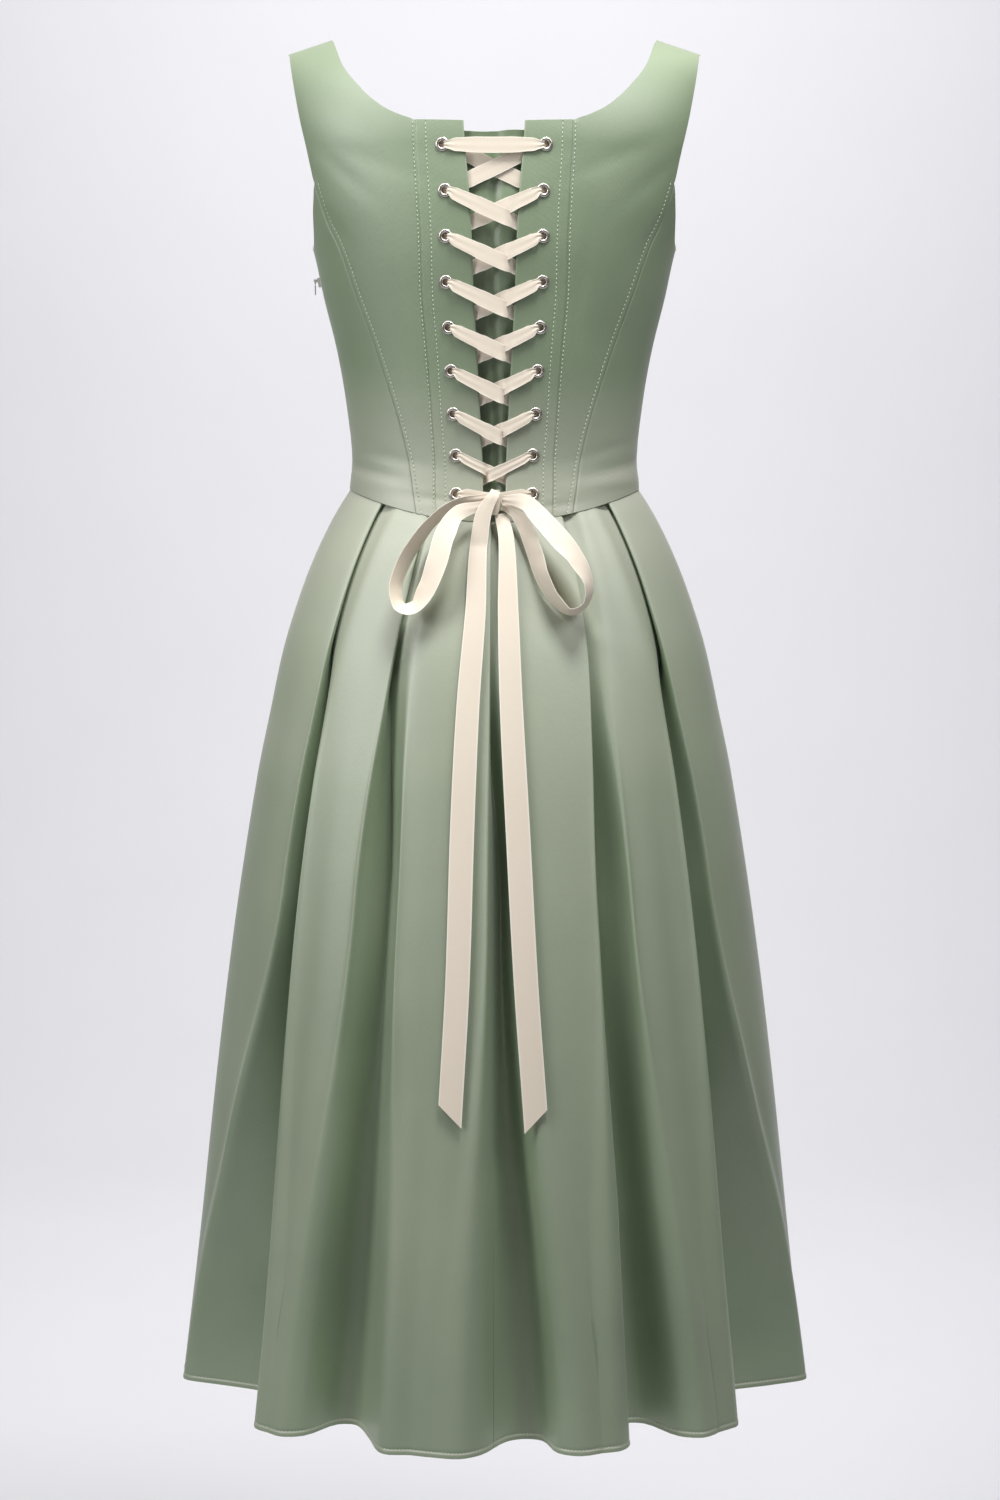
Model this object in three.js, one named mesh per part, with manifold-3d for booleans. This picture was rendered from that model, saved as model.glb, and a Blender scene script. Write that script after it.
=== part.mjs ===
// Corset dress: laced back bodice with shoulder straps, and a pleated midi skirt.
// Millimetres, +Z up. The laced back faces -Y and the wearer's left side lies at -X.
// The origin is midway between the straps, under the crest of the shoulders.
import * as THREE from 'three';
import { mergeVertices } from 'three/addons/utils/BufferGeometryUtils.js';
import Module from 'manifold-3d';

const wasm = await Module();
wasm.setup();

// Driving dimensions
const bodiceWall = 1.6;
const skirtWall = 1.2;
const ribbonWall = 0.8;
const seamGap = 0.3;
const halfSeam = 0.165;
const hemLevel = -1151;
const rollStart = -88;
const rollLength = 150;
const crestMiddle = 156.6;
const crestFall = 0.322;
const eyeletHole = 2.9;
const eyeletBarrel = 3.4;
const eyeletFlange = 5.75;
const eyeletSeat = 0.45;
const eyeletCrown = 1.5;
const quarter = Math.PI / 2;
const turnStep = 1e-3;

// Bodice sections from the waist to the shoulders: half width, back and front depth
const bodiceSections = [
  { z: -402, half: 127, back: 86, front: 95 },
  { z: -372, half: 124.5, back: 81.5, front: 90 },
  { z: -345, half: 122.5, back: 80, front: 89.5 },
  { z: -297, half: 127.5, back: 85, front: 98 },
  { z: -254, half: 135, back: 91, front: 112 },
  { z: -211, half: 145.5, back: 97, front: 126 },
  { z: -170, half: 154.5, back: 103, front: 128 },
  { z: -130, half: 167, back: 105, front: 119 },
  { z: -88, half: 177, back: 104, front: 104 },
  { z: -20, half: 184, back: 104, front: 104 },
  { z: 62, half: 186, back: 104, front: 104 },
];

// Skirt sections from the waist to the hem
const skirtSections = [
  { z: -1151, half: 276, back: 245, front: 236 },
  { z: -1030, half: 261, back: 230, front: 225 },
  { z: -870, half: 243, back: 207, front: 207 },
  { z: -740, half: 226, back: 184, front: 188 },
  { z: -620, half: 206.5, back: 158, front: 165 },
  { z: -565, half: 195, back: 144, front: 152 },
  { z: -510, half: 183, back: 128, front: 138 },
  { z: -465, half: 169, back: 113, front: 124 },
  { z: -430, half: 155.5, back: 101, front: 112 },
  { z: -398, half: 140, back: 89, front: 99 },
  { z: -372, half: 124.5, back: 82, front: 90 },
];

// The waist seam is highest at the sides and dips at the centre back and front
const waistSide = -372.8;
const waistDip = { back: 25, front: 21 };
const waistGap = 0.45;

// Right-hand seam and edge lines, as offset from the centre and rise up the form
const backGapEdge = [
  { x: 9.2, rise: -398 },
  { x: 9.8, rise: -351 },
  { x: 12.6, rise: -291 },
  { x: 16.7, rise: -216 },
  { x: 20, rise: -135 },
  { x: 25.2, rise: -74 },
];
const backLacingSeam = [
  { x: 49.5, rise: -396 },
  { x: 49.8, rise: -360 },
  { x: 52.3, rise: -310 },
  { x: 59.4, rise: -217 },
  { x: 62.3, rise: -132 },
  { x: 65.4, rise: -71.5 },
];
const backPrincessSeam = [
  { x: 66.4, rise: -390 },
  { x: 71.5, rise: -352 },
  { x: 81.2, rise: -310 },
  { x: 94, rise: -270 },
  { x: 114.8, rise: -213 },
  { x: 129.8, rise: -171 },
  { x: 140.7, rise: -148.5 },
  { x: 150.8, rise: -117 },
];
const backNeckline = [
  { x: 65.4, rise: -71.5 },
  { x: 80.5, rise: -66 },
  { x: 95, rise: -57.5 },
  { x: 111, rise: -41 },
  { x: 127, rise: -12 },
  { x: 135.5, rise: 34 },
  { x: 138.5, rise: 62 },
];
const backArmhole = [
  { x: 150.8, rise: -117 },
  { x: 155.8, rise: -94 },
  { x: 162.5, rise: -62 },
  { x: 167.5, rise: -30 },
  { x: 172, rise: 15 },
  { x: 174.6, rise: 62 },
];
const frontPrincessSeam = [
  { x: 46, rise: -392 },
  { x: 52, rise: -340 },
  { x: 66, rise: -280 },
  { x: 80, rise: -215 },
  { x: 84, rise: -160 },
  { x: 80, rise: -112 },
];
const frontNeckline = [
  { x: 80, rise: -112 },
  { x: 97, rise: -100 },
  { x: 110, rise: -84 },
  { x: 120, rise: -60 },
  { x: 130, rise: -20 },
  { x: 136.5, rise: 28 },
  { x: 138.5, rise: 62 },
];
const frontArmhole = [
  { x: 154.4, rise: -171.5 },
  { x: 150.5, rise: -152 },
  { x: 148.5, rise: -125 },
  { x: 152.5, rise: -95 },
  { x: 162, rise: -55 },
  { x: 170, rise: 0 },
  { x: 174.6, rise: 62 },
];
const sideSeamRises = { bottom: -372.8, top: -171.5 };

// Nine eyelet rows down the back
const eyeletRows = [
  { x: 42.5, rise: -88.3 },
  { x: 40.4, rise: -125.6 },
  { x: 40.1, rise: -162.7 },
  { x: 39.8, rise: -199.9 },
  { x: 38, rise: -237 },
  { x: 36.1, rise: -272.7 },
  { x: 34.4, rise: -308.3 },
  { x: 32.2, rise: -342.7 },
  { x: 32, rise: -374.8 },
];

// Pleats round the skirt, by angle from the centre back. The fold is the knife edge at the
// waist; lower down it opens to a first ridge, a valley and a last ridge.
const pleats = [
  { waist: -49.5, fold: 'first', m1: -54, mv: -51.5, m2: -48, mIn: 44, h1: -82, hv: -58, h2: -47, hIn: 82 },
  { waist: -26, fold: 'first', m1: -31.5, mv: -27, m2: -21, mIn: 36, h1: -40, hv: -32, h2: -19, hIn: 58 },
  { waist: -1, fold: 'first', m1: -1.5, mv: 1.5, m2: 5, mIn: 36, h1: -6, hv: 6, h2: 15, hIn: 50 },
  { waist: 27, fold: 'first', m1: 22.5, mv: 26, m2: 31, mIn: 38, h1: 22, hv: 31, h2: 39, hIn: 64 },
  { waist: 50.5, fold: 'last', m1: 48, mv: 52, m2: 56, mIn: 44, h1: 47.5, hv: 58, h2: 82, hIn: 82 },
  { waist: 128, fold: 'last', m1: 121, mv: 126, m2: 131, mIn: 36, h1: 104, hv: 119, h2: 132, hIn: 66 },
  { waist: 154, fold: 'last', m1: 150, mv: 155, m2: 159, mIn: 34, h1: 146, hv: 156, h2: 166, hIn: 50 },
  { waist: 207, fold: 'first', m1: 202, mv: 206, m2: 211, mIn: 33, h1: 195, hv: 204, h2: 215, hIn: 54 },
  { waist: 232, fold: 'first', m1: 228, mv: 233, m2: 238, mIn: 37, h1: 228, hv: 240, h2: 256, hIn: 62 },
];
const pleatUnderlap = 20;
const layerStep = 1.35;
const emergeLength = 18;
const openBy = 0.42;
const ridgeSoft = { middle: 5, hem: 18 };
const softLimit = 0.4;
const skirtRows = [0, 0.02, 0.055, 0.105, 0.17, 0.25, 0.34, 0.46, 0.62, 0.8, 1];

// Materials
const satin = { color: 0x8fa38b, roughness: 0.45, metalness: 0 };
const satinDeep = { color: 0x75896f, roughness: 0.5, metalness: 0 };
const ribbon = { color: 0xede3d6, roughness: 0.4, metalness: 0 };
const nickel = { color: 0xbdb6ae, roughness: 0.25, metalness: 1 };
const zipTape = { color: 0x7f947b, roughness: 0.7, metalness: 0 };

const dress = new THREE.Group();
dress.name = 'corset_dress';

function addPiece(name, geometry, look) {
  const mesh = new THREE.Mesh(geometry, new THREE.MeshStandardMaterial(look));
  mesh.name = name;
  dress.add(mesh);
  return mesh;
}

const lerp = THREE.MathUtils.lerp;
const radians = THREE.MathUtils.degToRad;
const smooth = (t) => THREE.MathUtils.smoothstep(t, 0, 1);

// Smooth curve through one column of a table that rises in its key
function tableCurve(rows, key, column) {
  const at = rows.map((row) => row[key]);
  const value = rows.map((row) => row[column]);
  const slope = value.map((_, i) => {
    const low = Math.max(i - 1, 0);
    const high = Math.min(i + 1, rows.length - 1);
    return (value[high] - value[low]) / (at[high] - at[low]);
  });
  return (where) => {
    let i = 0;
    while (i < at.length - 2 && where > at[i + 1]) i += 1;
    const span = at[i + 1] - at[i];
    const t = THREE.MathUtils.clamp((where - at[i]) / span, 0, 1);
    const fromStart = (1 + 2 * t) * (1 - t) ** 2 * value[i] + t * (1 - t) ** 2 * span * slope[i];
    const fromEnd = t * t * (3 - 2 * t) * value[i + 1] + t * t * (t - 1) * span * slope[i + 1];
    return fromStart + fromEnd;
  };
}

const bodiceHalf = tableCurve(bodiceSections, 'z', 'half');
const bodiceBack = tableCurve(bodiceSections, 'z', 'back');
const bodiceFront = tableCurve(bodiceSections, 'z', 'front');
const skirtHalf = tableCurve(skirtSections, 'z', 'half');
const skirtBack = tableCurve(skirtSections, 'z', 'back');
const skirtFront = tableCurve(skirtSections, 'z', 'front');

// Rise of the waist seam at an angle round the body
function waistRise(angle) {
  const dip = Math.cos(angle) > 0 ? waistDip.back : waistDip.front;
  return waistSide - dip * Math.cos(angle) ** 2;
}

// Outer face of the bodice form. Above rollStart it rolls over to the crest of the shoulder.
function bodicePoint(angle, rise) {
  const level = Math.min(rise, rollStart);
  const depth = Math.cos(angle) > 0 ? bodiceBack(level) : bodiceFront(level);
  const roll = (Math.max(rise - rollStart, 0) / rollLength) * quarter;
  const x = bodiceHalf(rise) * Math.sin(angle);
  const y = -depth * Math.cos(angle) * Math.cos(roll);
  const crest = crestFall * (crestMiddle - Math.abs(x));
  const z = roll > 0 ? rollStart + (crest - rollStart) * Math.sin(roll) : rise;
  return new THREE.Vector3(x, y, z);
}

function bodiceNormal(angle, rise) {
  const riseStep = 0.05;
  const around = bodicePoint(angle + turnStep, rise).sub(bodicePoint(angle - turnStep, rise));
  const upward = bodicePoint(angle, rise + riseStep).sub(bodicePoint(angle, rise - riseStep));
  return around.cross(upward).normalize();
}

// Point on the bodice form, lifted out from it
function onBodice(angle, rise, lift) {
  return bodicePoint(angle, rise).addScaledVector(bodiceNormal(angle, rise), lift);
}

function angleAt(x, rise) {
  return Math.asin(THREE.MathUtils.clamp(x / bodiceHalf(rise), -1, 1));
}

// Closed solid between two grids of points with the same rows and columns
function wallGeometry(outer, inner) {
  const rows = outer.length;
  const columns = outer[0].length;
  const positions = [...outer.flat(), ...inner.flat()].flatMap((p) => [p.x, p.y, p.z]);
  const index = [];
  const quad = (a, b, c, d) => index.push(a, b, c, a, c, d);
  const face = (r, c) => r * columns + c;
  const back = (r, c) => rows * columns + r * columns + c;
  for (let r = 0; r < rows - 1; r += 1) {
    for (let c = 0; c < columns - 1; c += 1) {
      quad(face(r, c), face(r, c + 1), face(r + 1, c + 1), face(r + 1, c));
      index.push(back(r, c), back(r + 1, c + 1), back(r, c + 1));
      index.push(back(r, c), back(r + 1, c), back(r + 1, c + 1));
    }
  }
  for (let c = 0; c < columns - 1; c += 1) {
    quad(face(0, c), back(0, c), back(0, c + 1), face(0, c + 1));
    quad(face(rows - 1, c), face(rows - 1, c + 1), back(rows - 1, c + 1), back(rows - 1, c));
  }
  for (let r = 0; r < rows - 1; r += 1) {
    quad(face(r, 0), face(r + 1, 0), back(r + 1, 0), back(r, 0));
    quad(face(r, columns - 1), back(r, columns - 1), back(r + 1, columns - 1), face(r + 1, columns - 1));
  }
  return facingOut(positions, index);
}

// Turns the triangles over where the closed surface faces inward
function facingOut(positions, index) {
  const corner = (i) => new THREE.Vector3().fromArray(positions, index[i] * 3);
  let volume = 0;
  for (let i = 0; i < index.length; i += 3) {
    volume += corner(i).dot(corner(i + 1).cross(corner(i + 2)));
  }
  const ordered = volume > 0 ? index : index.slice().reverse();
  const geometry = new THREE.BufferGeometry();
  geometry.setAttribute('position', new THREE.Float32BufferAttribute(positions, 3));
  geometry.setIndex(ordered);
  return geometry;
}

// Points down a seam or edge line, as angle and rise
function seamLine(rows, count, front = false) {
  const spots = rows.map(({ x, rise }) => {
    const angle = angleAt(x, rise);
    return new THREE.Vector2(front ? Math.PI - angle : angle, rise);
  });
  const curve = new THREE.SplineCurve(spots);
  return Array.from({ length: count + 1 }, (_, i) => curve.getPoint(i / count));
}

function sideLine(count) {
  const { bottom, top } = sideSeamRises;
  const rises = Array.from({ length: count + 1 }, (_, i) => lerp(bottom, top, i / count));
  return rises.map((rise) => new THREE.Vector2(quarter, rise));
}

// Moves a seam line sideways by half the seam gap
function besideSeam(line, direction) {
  return line.map((spot) => {
    const reach = bodicePoint(spot.x + turnStep, spot.y).distanceTo(bodicePoint(spot.x, spot.y));
    return new THREE.Vector2(spot.x + (direction * halfSeam * turnStep) / reach, spot.y);
  });
}

// A bodice panel between two lines that have the same number of rows
function bodicePanel({ first, last, columns, topSag = 0, front = false, lift = 0, wall = bodiceWall }) {
  const rows = first.length;
  const shift = (front ? 1 : -1) * (seamGap / 2);
  const outer = [];
  const inner = [];
  for (let r = 0; r < rows; r += 1) {
    const v = r / (rows - 1);
    const outerRow = [];
    const innerRow = [];
    for (let c = 0; c <= columns; c += 1) {
      const u = c / columns;
      const angle = lerp(first[r].x, last[r].x, u);
      const straight = lerp(first[0].y, last[0].y, u);
      const bottom = waistRise(lerp(first[0].x, last[0].x, u)) - straight;
      const sag = topSag * Math.sin(Math.PI * u) * v ** 4;
      const rise = lerp(first[r].y, last[r].y, u) + bottom * (1 - v) ** 4 - sag;
      outerRow.push(onBodice(angle, rise, lift).add(new THREE.Vector3(0, shift, 0)));
      innerRow.push(onBodice(angle, rise, lift - wall).add(new THREE.Vector3(0, shift, 0)));
    }
    outer.push(outerRow);
    inner.push(innerRow);
  }
  return { outer, inner };
}

const mirrored = (grid) => grid.map((row) => row.map((p) => new THREE.Vector3(-p.x, p.y, p.z)));

// Adds a panel on the right and its mirror image on the left
function addPanelPair(name, grids, look) {
  addPiece(`${name}_right`, wallGeometry(grids.outer, grids.inner), look);
  addPiece(`${name}_left`, wallGeometry(mirrored(grids.outer), mirrored(grids.inner)), look);
}

// Bodice lines, each sampled once so that neighbours share their points
const seamRows = 10;
const gapLine = seamLine(backGapEdge, seamRows);
const lacingLine = seamLine(backLacingSeam, seamRows);
const princessLine = seamLine(backPrincessSeam, seamRows);
const sideSeam = sideLine(seamRows);
const neckRows = 6;
const neckLine = seamLine(backNeckline, neckRows).slice(1);
const armLine = seamLine(backArmhole, neckRows).slice(1);
const frontSeam = seamLine(frontPrincessSeam, seamRows, true);
const frontNeckLine = seamLine(frontNeckline, neckRows, true).slice(1);
const frontArmLine = seamLine(frontArmhole, neckRows, true).slice(1);

// Back panels cut in one with the shoulder straps
const backPanel = bodicePanel({
  first: [...besideSeam(lacingLine, 1), ...neckLine],
  last: [...besideSeam(princessLine, -1), ...armLine],
  columns: 4,
});
addPanelPair('back', backPanel, satin);

// Side-back panels, between the princess seam and the side seam
const sideBackPanel = bodicePanel({
  first: besideSeam(princessLine, 1),
  last: sideSeam,
  columns: 4,
  topSag: 16,
});
addPanelPair('side_back', sideBackPanel, satinDeep);

// Front panels cut in one with the straps, and the centre front
const frontPanel = bodicePanel({
  first: [...sideSeam, ...frontArmLine],
  last: [...besideSeam(frontSeam, -1), ...frontNeckLine],
  columns: 6,
  front: true,
});
addPanelPair('front', frontPanel, satin);

const frontCentreLeft = frontSeam.map((spot) => new THREE.Vector2(2 * Math.PI - spot.x, spot.y));
const frontCentre = bodicePanel({
  first: besideSeam(frontSeam, 1),
  last: besideSeam(frontCentreLeft, -1),
  columns: 8,
  topSag: 10,
  front: true,
});
addPiece('front_centre', wallGeometry(frontCentre.outer, frontCentre.inner), satin);

// Joins and cuts work on solids with shared corners
function asSolid(geometry) {
  const plain = geometry.clone();
  plain.deleteAttribute('normal');
  plain.deleteAttribute('uv');
  const merged = mergeVertices(plain, 1e-4);
  const vertProperties = new Float32Array(merged.getAttribute('position').array);
  const triVerts = new Uint32Array(merged.getIndex().array);
  return new wasm.Manifold(new wasm.Mesh({ numProp: 3, vertProperties, triVerts }));
}

function asGeometry(solid) {
  const mesh = solid.getMesh();
  const geometry = new THREE.BufferGeometry();
  geometry.setAttribute('position', new THREE.BufferAttribute(mesh.vertProperties, 3));
  geometry.setIndex(new THREE.BufferAttribute(mesh.triVerts, 1));
  return geometry;
}

// Turn that carries +Y onto the outward direction of the bodice at a spot
function outwardTurn(angle, rise) {
  const up = new THREE.Vector3(0, 1, 0);
  return new THREE.Quaternion().setFromUnitVectors(up, bodiceNormal(angle, rise));
}

// Eyelet spots on one side, with the small shift that the back pieces share
function eyeletSpots(side) {
  return eyeletRows.map(({ x, rise }) => {
    const angle = angleAt(x * side, rise);
    const place = onBodice(angle, rise, 0).add(new THREE.Vector3(0, -seamGap / 2, 0));
    return { place, turn: outwardTurn(angle, rise) };
  });
}

// Lacing panels, with a hole for each eyelet
const lacingPanel = bodicePanel({
  first: gapLine,
  last: besideSeam(lacingLine, -1),
  columns: 3,
});
const holeSides = 10;
const holeReach = 5;
for (const [name, side] of [['right', 1], ['left', -1]]) {
  const flip = side > 0 ? (grid) => grid : mirrored;
  let panel = asSolid(wallGeometry(flip(lacingPanel.outer), flip(lacingPanel.inner)));
  for (const { place, turn } of eyeletSpots(side)) {
    const radius = eyeletBarrel + seamGap;
    const drill = new THREE.CylinderGeometry(radius, radius, 2 * holeReach, holeSides);
    drill.applyQuaternion(turn).translate(place.x, place.y, place.z);
    panel = panel.subtract(asSolid(drill));
  }
  addPiece(`back_lacing_${name}`, asGeometry(panel), satin);
}

// Eyelets: a rolled flange outside and a barrel through the cloth
const eyeletProfile = [
  new THREE.Vector2(eyeletHole, -2.2),
  new THREE.Vector2(eyeletBarrel, -2.2),
  new THREE.Vector2(eyeletBarrel, eyeletSeat),
  new THREE.Vector2(eyeletFlange, eyeletSeat),
  new THREE.Vector2(4.5, eyeletCrown),
  new THREE.Vector2(eyeletHole, 0.9),
  new THREE.Vector2(eyeletHole, -2.2),
];
for (const [name, side] of [['left', -1], ['right', 1]]) {
  eyeletSpots(side).forEach(({ place, turn }, i) => {
    const form = new THREE.LatheGeometry(eyeletProfile, holeSides);
    const eyelet = addPiece(`eyelet_${name}_${i + 1}`, form, nickel);
    eyelet.position.copy(place);
    eyelet.quaternion.copy(turn);
  });
}

// Modesty panel behind the lacing gap: sewn on at the left, free at the right
const modesty = {
  top: -80,
  bottom: -388,
  waistShare: 0.8,
  sewn: -57,
  tucked: -46,
  free: 38,
  seat: 2.7,
  depth: 6.4,
  wall: 1,
  rows: 8,
  sewnColumns: 2,
  freeColumns: 6,
};
function modestyGrid(extraDepth) {
  const { rows, sewnColumns, freeColumns } = modesty;
  return Array.from({ length: rows + 1 }, (_, r) => {
    const v = r / rows;
    const rise = lerp(modesty.bottom, modesty.top, v);
    const narrow = lerp(modesty.waistShare, 1, smooth(v));
    return Array.from({ length: sewnColumns + freeColumns + 1 }, (__, c) => {
      const tuck = Math.min(c / sewnColumns, 1);
      const across = Math.max((c - sewnColumns) / freeColumns, 0);
      const x = lerp(modesty.sewn, modesty.tucked, tuck) + (modesty.free - modesty.tucked) * across;
      const depth = lerp(modesty.seat, modesty.depth, smooth(tuck));
      const angle = angleAt(x * narrow, rise);
      return onBodice(angle, rise, -(depth + extraDepth)).add(new THREE.Vector3(0, -seamGap / 2, 0));
    });
  });
}
addPiece('modesty_panel', wallGeometry(modestyGrid(0), modestyGrid(modesty.wall)), satinDeep);

// Skirt form at an angle and a share of the way down; it starts at the waist seam
function skirtLevel(angle, share) {
  return lerp(waistRise(angle) - waistGap, hemLevel, share);
}

function skirtPoint(angle, share) {
  const top = skirtLevel(angle, 0);
  const z = skirtLevel(angle, share);
  const ellipse = (level) => {
    const depth = Math.cos(angle) > 0 ? skirtBack(level) : skirtFront(level);
    return new THREE.Vector3(skirtHalf(level) * Math.sin(angle), -depth * Math.cos(angle), level);
  };
  const point = ellipse(z);
  const waist = bodicePoint(angle, top).sub(ellipse(top));
  return point.addScaledVector(waist, (1 - share) ** 12).setZ(z);
}

function skirtInward(angle, share) {
  const z = skirtLevel(angle, share);
  const depth = Math.cos(angle) > 0 ? skirtBack(z) : skirtFront(z);
  return new THREE.Vector3(-Math.sin(angle) / skirtHalf(z), Math.cos(angle) / depth, 0).normalize();
}

// Nine points of one pleat: three on the first ridge, three in the valley, three on the last
function pleatPoints(pleat, share) {
  const turn = radians(pleat.waist);
  const reach = skirtPoint(turn + turnStep, share).distanceTo(skirtPoint(turn, share));
  const degree = radians(1) * (reach / turnStep);
  const step = layerStep / degree;
  const lap = pleatUnderlap / degree;
  const out = emergeLength / degree;
  const closed = [
    [-step, 0],
    [0, layerStep],
    [-step, 2 * layerStep],
    [-lap + step, 2 * layerStep],
    [-lap, 3 * layerStep],
    [-lap + step, 4 * layerStep],
    [-step, 4.4 * layerStep],
    [0.5 * out, 2.6 * layerStep],
    [out, 0],
  ];
  const waistShape = closed.map(([turn, depth]) => ({ angle: pleat.waist + turn, depth }));
  if (pleat.fold === 'last') {
    waistShape.reverse();
    for (const spot of waistShape) spot.angle = 2 * pleat.waist - spot.angle;
  }
  const lower = smooth((share - openBy) / (1 - openBy));
  const first = lerp(pleat.m1, pleat.h1, lower);
  const valley = lerp(pleat.mv, pleat.hv, lower);
  const last = lerp(pleat.m2, pleat.h2, lower);
  const depth = lerp(pleat.mIn, pleat.hIn, lower);
  const softWidth = lerp(ridgeSoft.middle, ridgeSoft.hem, lower) / degree;
  const soft = Math.min(softWidth, (valley - first) * softLimit, (last - valley) * softLimit);
  const open = [
    { angle: first - 1.4 * soft, depth: 0.03 * depth },
    { angle: first, depth: 0 },
    { angle: first + soft, depth: 0.22 * depth },
    { angle: valley - soft, depth: 0.88 * depth },
    { angle: valley, depth },
    { angle: valley + soft, depth: 0.88 * depth },
    { angle: last - soft, depth: 0.22 * depth },
    { angle: last, depth: 0 },
    { angle: last + 1.4 * soft, depth: 0.03 * depth },
  ];
  const opened = smooth(share / openBy);
  return open.map((spot, i) => ({
    angle: lerp(waistShape[i].angle, spot.angle, opened),
    depth: lerp(waistShape[i].depth, spot.depth, opened),
  }));
}

// Steps of plain cloth between two pleats that lie this many degrees apart at the waist
const plainSteps = (span) => Math.max(2, Math.ceil(span / 13));

// One ring of cloth between two angles: the pleats, with plain cloth between them
function skirtRing(chosen, from, to, share) {
  const ring = [{ angle: from, depth: 0 }];
  const bridge = (target, span) => {
    const start = ring[ring.length - 1];
    const steps = plainSteps(span);
    for (let i = 1; i < steps; i += 1) {
      const t = i / steps;
      ring.push({ angle: lerp(start.angle, target.angle, t), depth: lerp(start.depth, target.depth, t) });
    }
  };
  let reached = from;
  for (const pleat of chosen) {
    const spots = pleatPoints(pleat, share);
    bridge(spots[0], pleat.waist - reached);
    ring.push(...spots);
    reached = pleat.waist;
  }
  const end = { angle: to, depth: 0 };
  bridge(end, to - reached);
  ring.push(end);
  const waistInset = skirtWall / 2 + seamGap;
  return ring.map(({ angle, depth }) => {
    const turn = radians(angle);
    return skirtPoint(turn, share).addScaledVector(skirtInward(turn, share), depth + waistInset);
  });
}

// Offsets a ring to both sides by half the wall, square to the cloth
function ringWall(ring, ends) {
  const outer = [];
  const inner = [];
  ring.forEach((point, i) => {
    const before = ring[Math.max(i - 1, 0)];
    const after = ring[Math.min(i + 1, ring.length - 1)];
    const incoming = new THREE.Vector2(point.x - before.x, point.y - before.y).normalize();
    const outgoing = new THREE.Vector2(after.x - point.x, after.y - point.y).normalize();
    const along = incoming.clone().add(outgoing).normalize();
    const miter = i > 0 && i < ring.length - 1 ? Math.max(along.dot(outgoing), 0.6) : 1;
    let normal = new THREE.Vector3(along.y, -along.x, 0);
    if (i === 0 && ends.first) normal = ends.first.clone();
    if (i === ring.length - 1 && ends.last) normal = ends.last.clone();
    const half = skirtWall / 2 / miter;
    outer.push(point.clone().addScaledVector(normal, half));
    inner.push(point.clone().addScaledVector(normal, -half));
  });
  return { outer, inner };
}

// Skirt panel from a slice of the rings
function skirtPanel(rings, ends, shift) {
  const walls = rings.map((ring) => ringWall(ring.map((p) => p.clone().setY(p.y + shift)), ends));
  return wallGeometry(walls.map((wall) => wall.outer), walls.map((wall) => wall.inner));
}

const leftward = new THREE.Vector3(-1, 0, 0);
const rightward = new THREE.Vector3(1, 0, 0);
const backRings = skirtRows.map((share) => skirtRing(pleats.slice(0, 5), -90, 90, share));
const frontRings = skirtRows.map((share) => skirtRing(pleats.slice(5), 90, 270, share));

// The centre-back seam runs down the first side of the middle pleat
const pleatSize = 9;
const backWaists = [-90, ...pleats.slice(0, 3).map((pleat) => pleat.waist)];
const plainBefore = backWaists.slice(1).map((waist, i) => plainSteps(waist - backWaists[i]) - 1);
const seamColumn = 1 + plainBefore.reduce((sum, count) => sum + count, 0) + 2 * pleatSize + 2;
function trimmedAtSeam(ring, side) {
  const a = ring[seamColumn];
  const b = ring[seamColumn + 1];
  const middle = a.clone().lerp(b, 0.4);
  const offset = b.clone().sub(a).setZ(0).setLength((side * seamGap) / 2);
  const end = middle.add(offset);
  return side < 0 ? [...ring.slice(0, seamColumn + 1), end] : [end, ...ring.slice(seamColumn + 1)];
}
const leftRings = backRings.map((ring) => trimmedAtSeam(ring, -1));
const rightRings = backRings.map((ring) => trimmedAtSeam(ring, 1));
addPiece('skirt_back_left', skirtPanel(leftRings, { first: leftward }, -seamGap / 2), satinDeep);
addPiece('skirt_back_right', skirtPanel(rightRings, { last: rightward }, -seamGap / 2), satinDeep);
const frontEnds = { first: rightward, last: leftward };
addPiece('skirt_front', skirtPanel(frontRings, frontEnds, seamGap / 2), satinDeep);

// Closed strip through cross-sections of four corners each
function stripGeometry(sections) {
  const corners = 4;
  const positions = sections.flat().flatMap((p) => [p.x, p.y, p.z]);
  const index = [];
  for (let s = 0; s < sections.length - 1; s += 1) {
    for (let k = 0; k < corners; k += 1) {
      const a = s * corners + k;
      const b = s * corners + ((k + 1) % corners);
      index.push(a, b, b + corners, a, b + corners, a + corners);
    }
  }
  const end = (sections.length - 1) * corners;
  index.push(0, 2, 1, 0, 3, 2);
  index.push(end, end + 1, end + 2, end, end + 2, end + 3);
  return facingOut(positions, index);
}

// Ribbon through stations: place, width and the direction of its width
function ribbonGeometry(stations) {
  const sections = stations.map((station, i) => {
    const before = stations[Math.max(i - 1, 0)].place;
    const after = stations[Math.min(i + 1, stations.length - 1)].place;
    const along = after.clone().sub(before).normalize();
    const across = station.across.clone().addScaledVector(along, -station.across.dot(along)).normalize();
    const thick = along.clone().cross(across).multiplyScalar(ribbonWall / 2);
    const wide = across.multiplyScalar(station.width / 2);
    const slant = along.clone().multiplyScalar(station.slant ?? 0);
    const high = station.place.clone().add(wide).add(slant);
    const low = station.place.clone().sub(wide).sub(slant);
    return [
      high.clone().add(thick),
      high.clone().sub(thick),
      low.clone().sub(thick),
      low.clone().add(thick),
    ];
  });
  return stripGeometry(sections);
}

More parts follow.
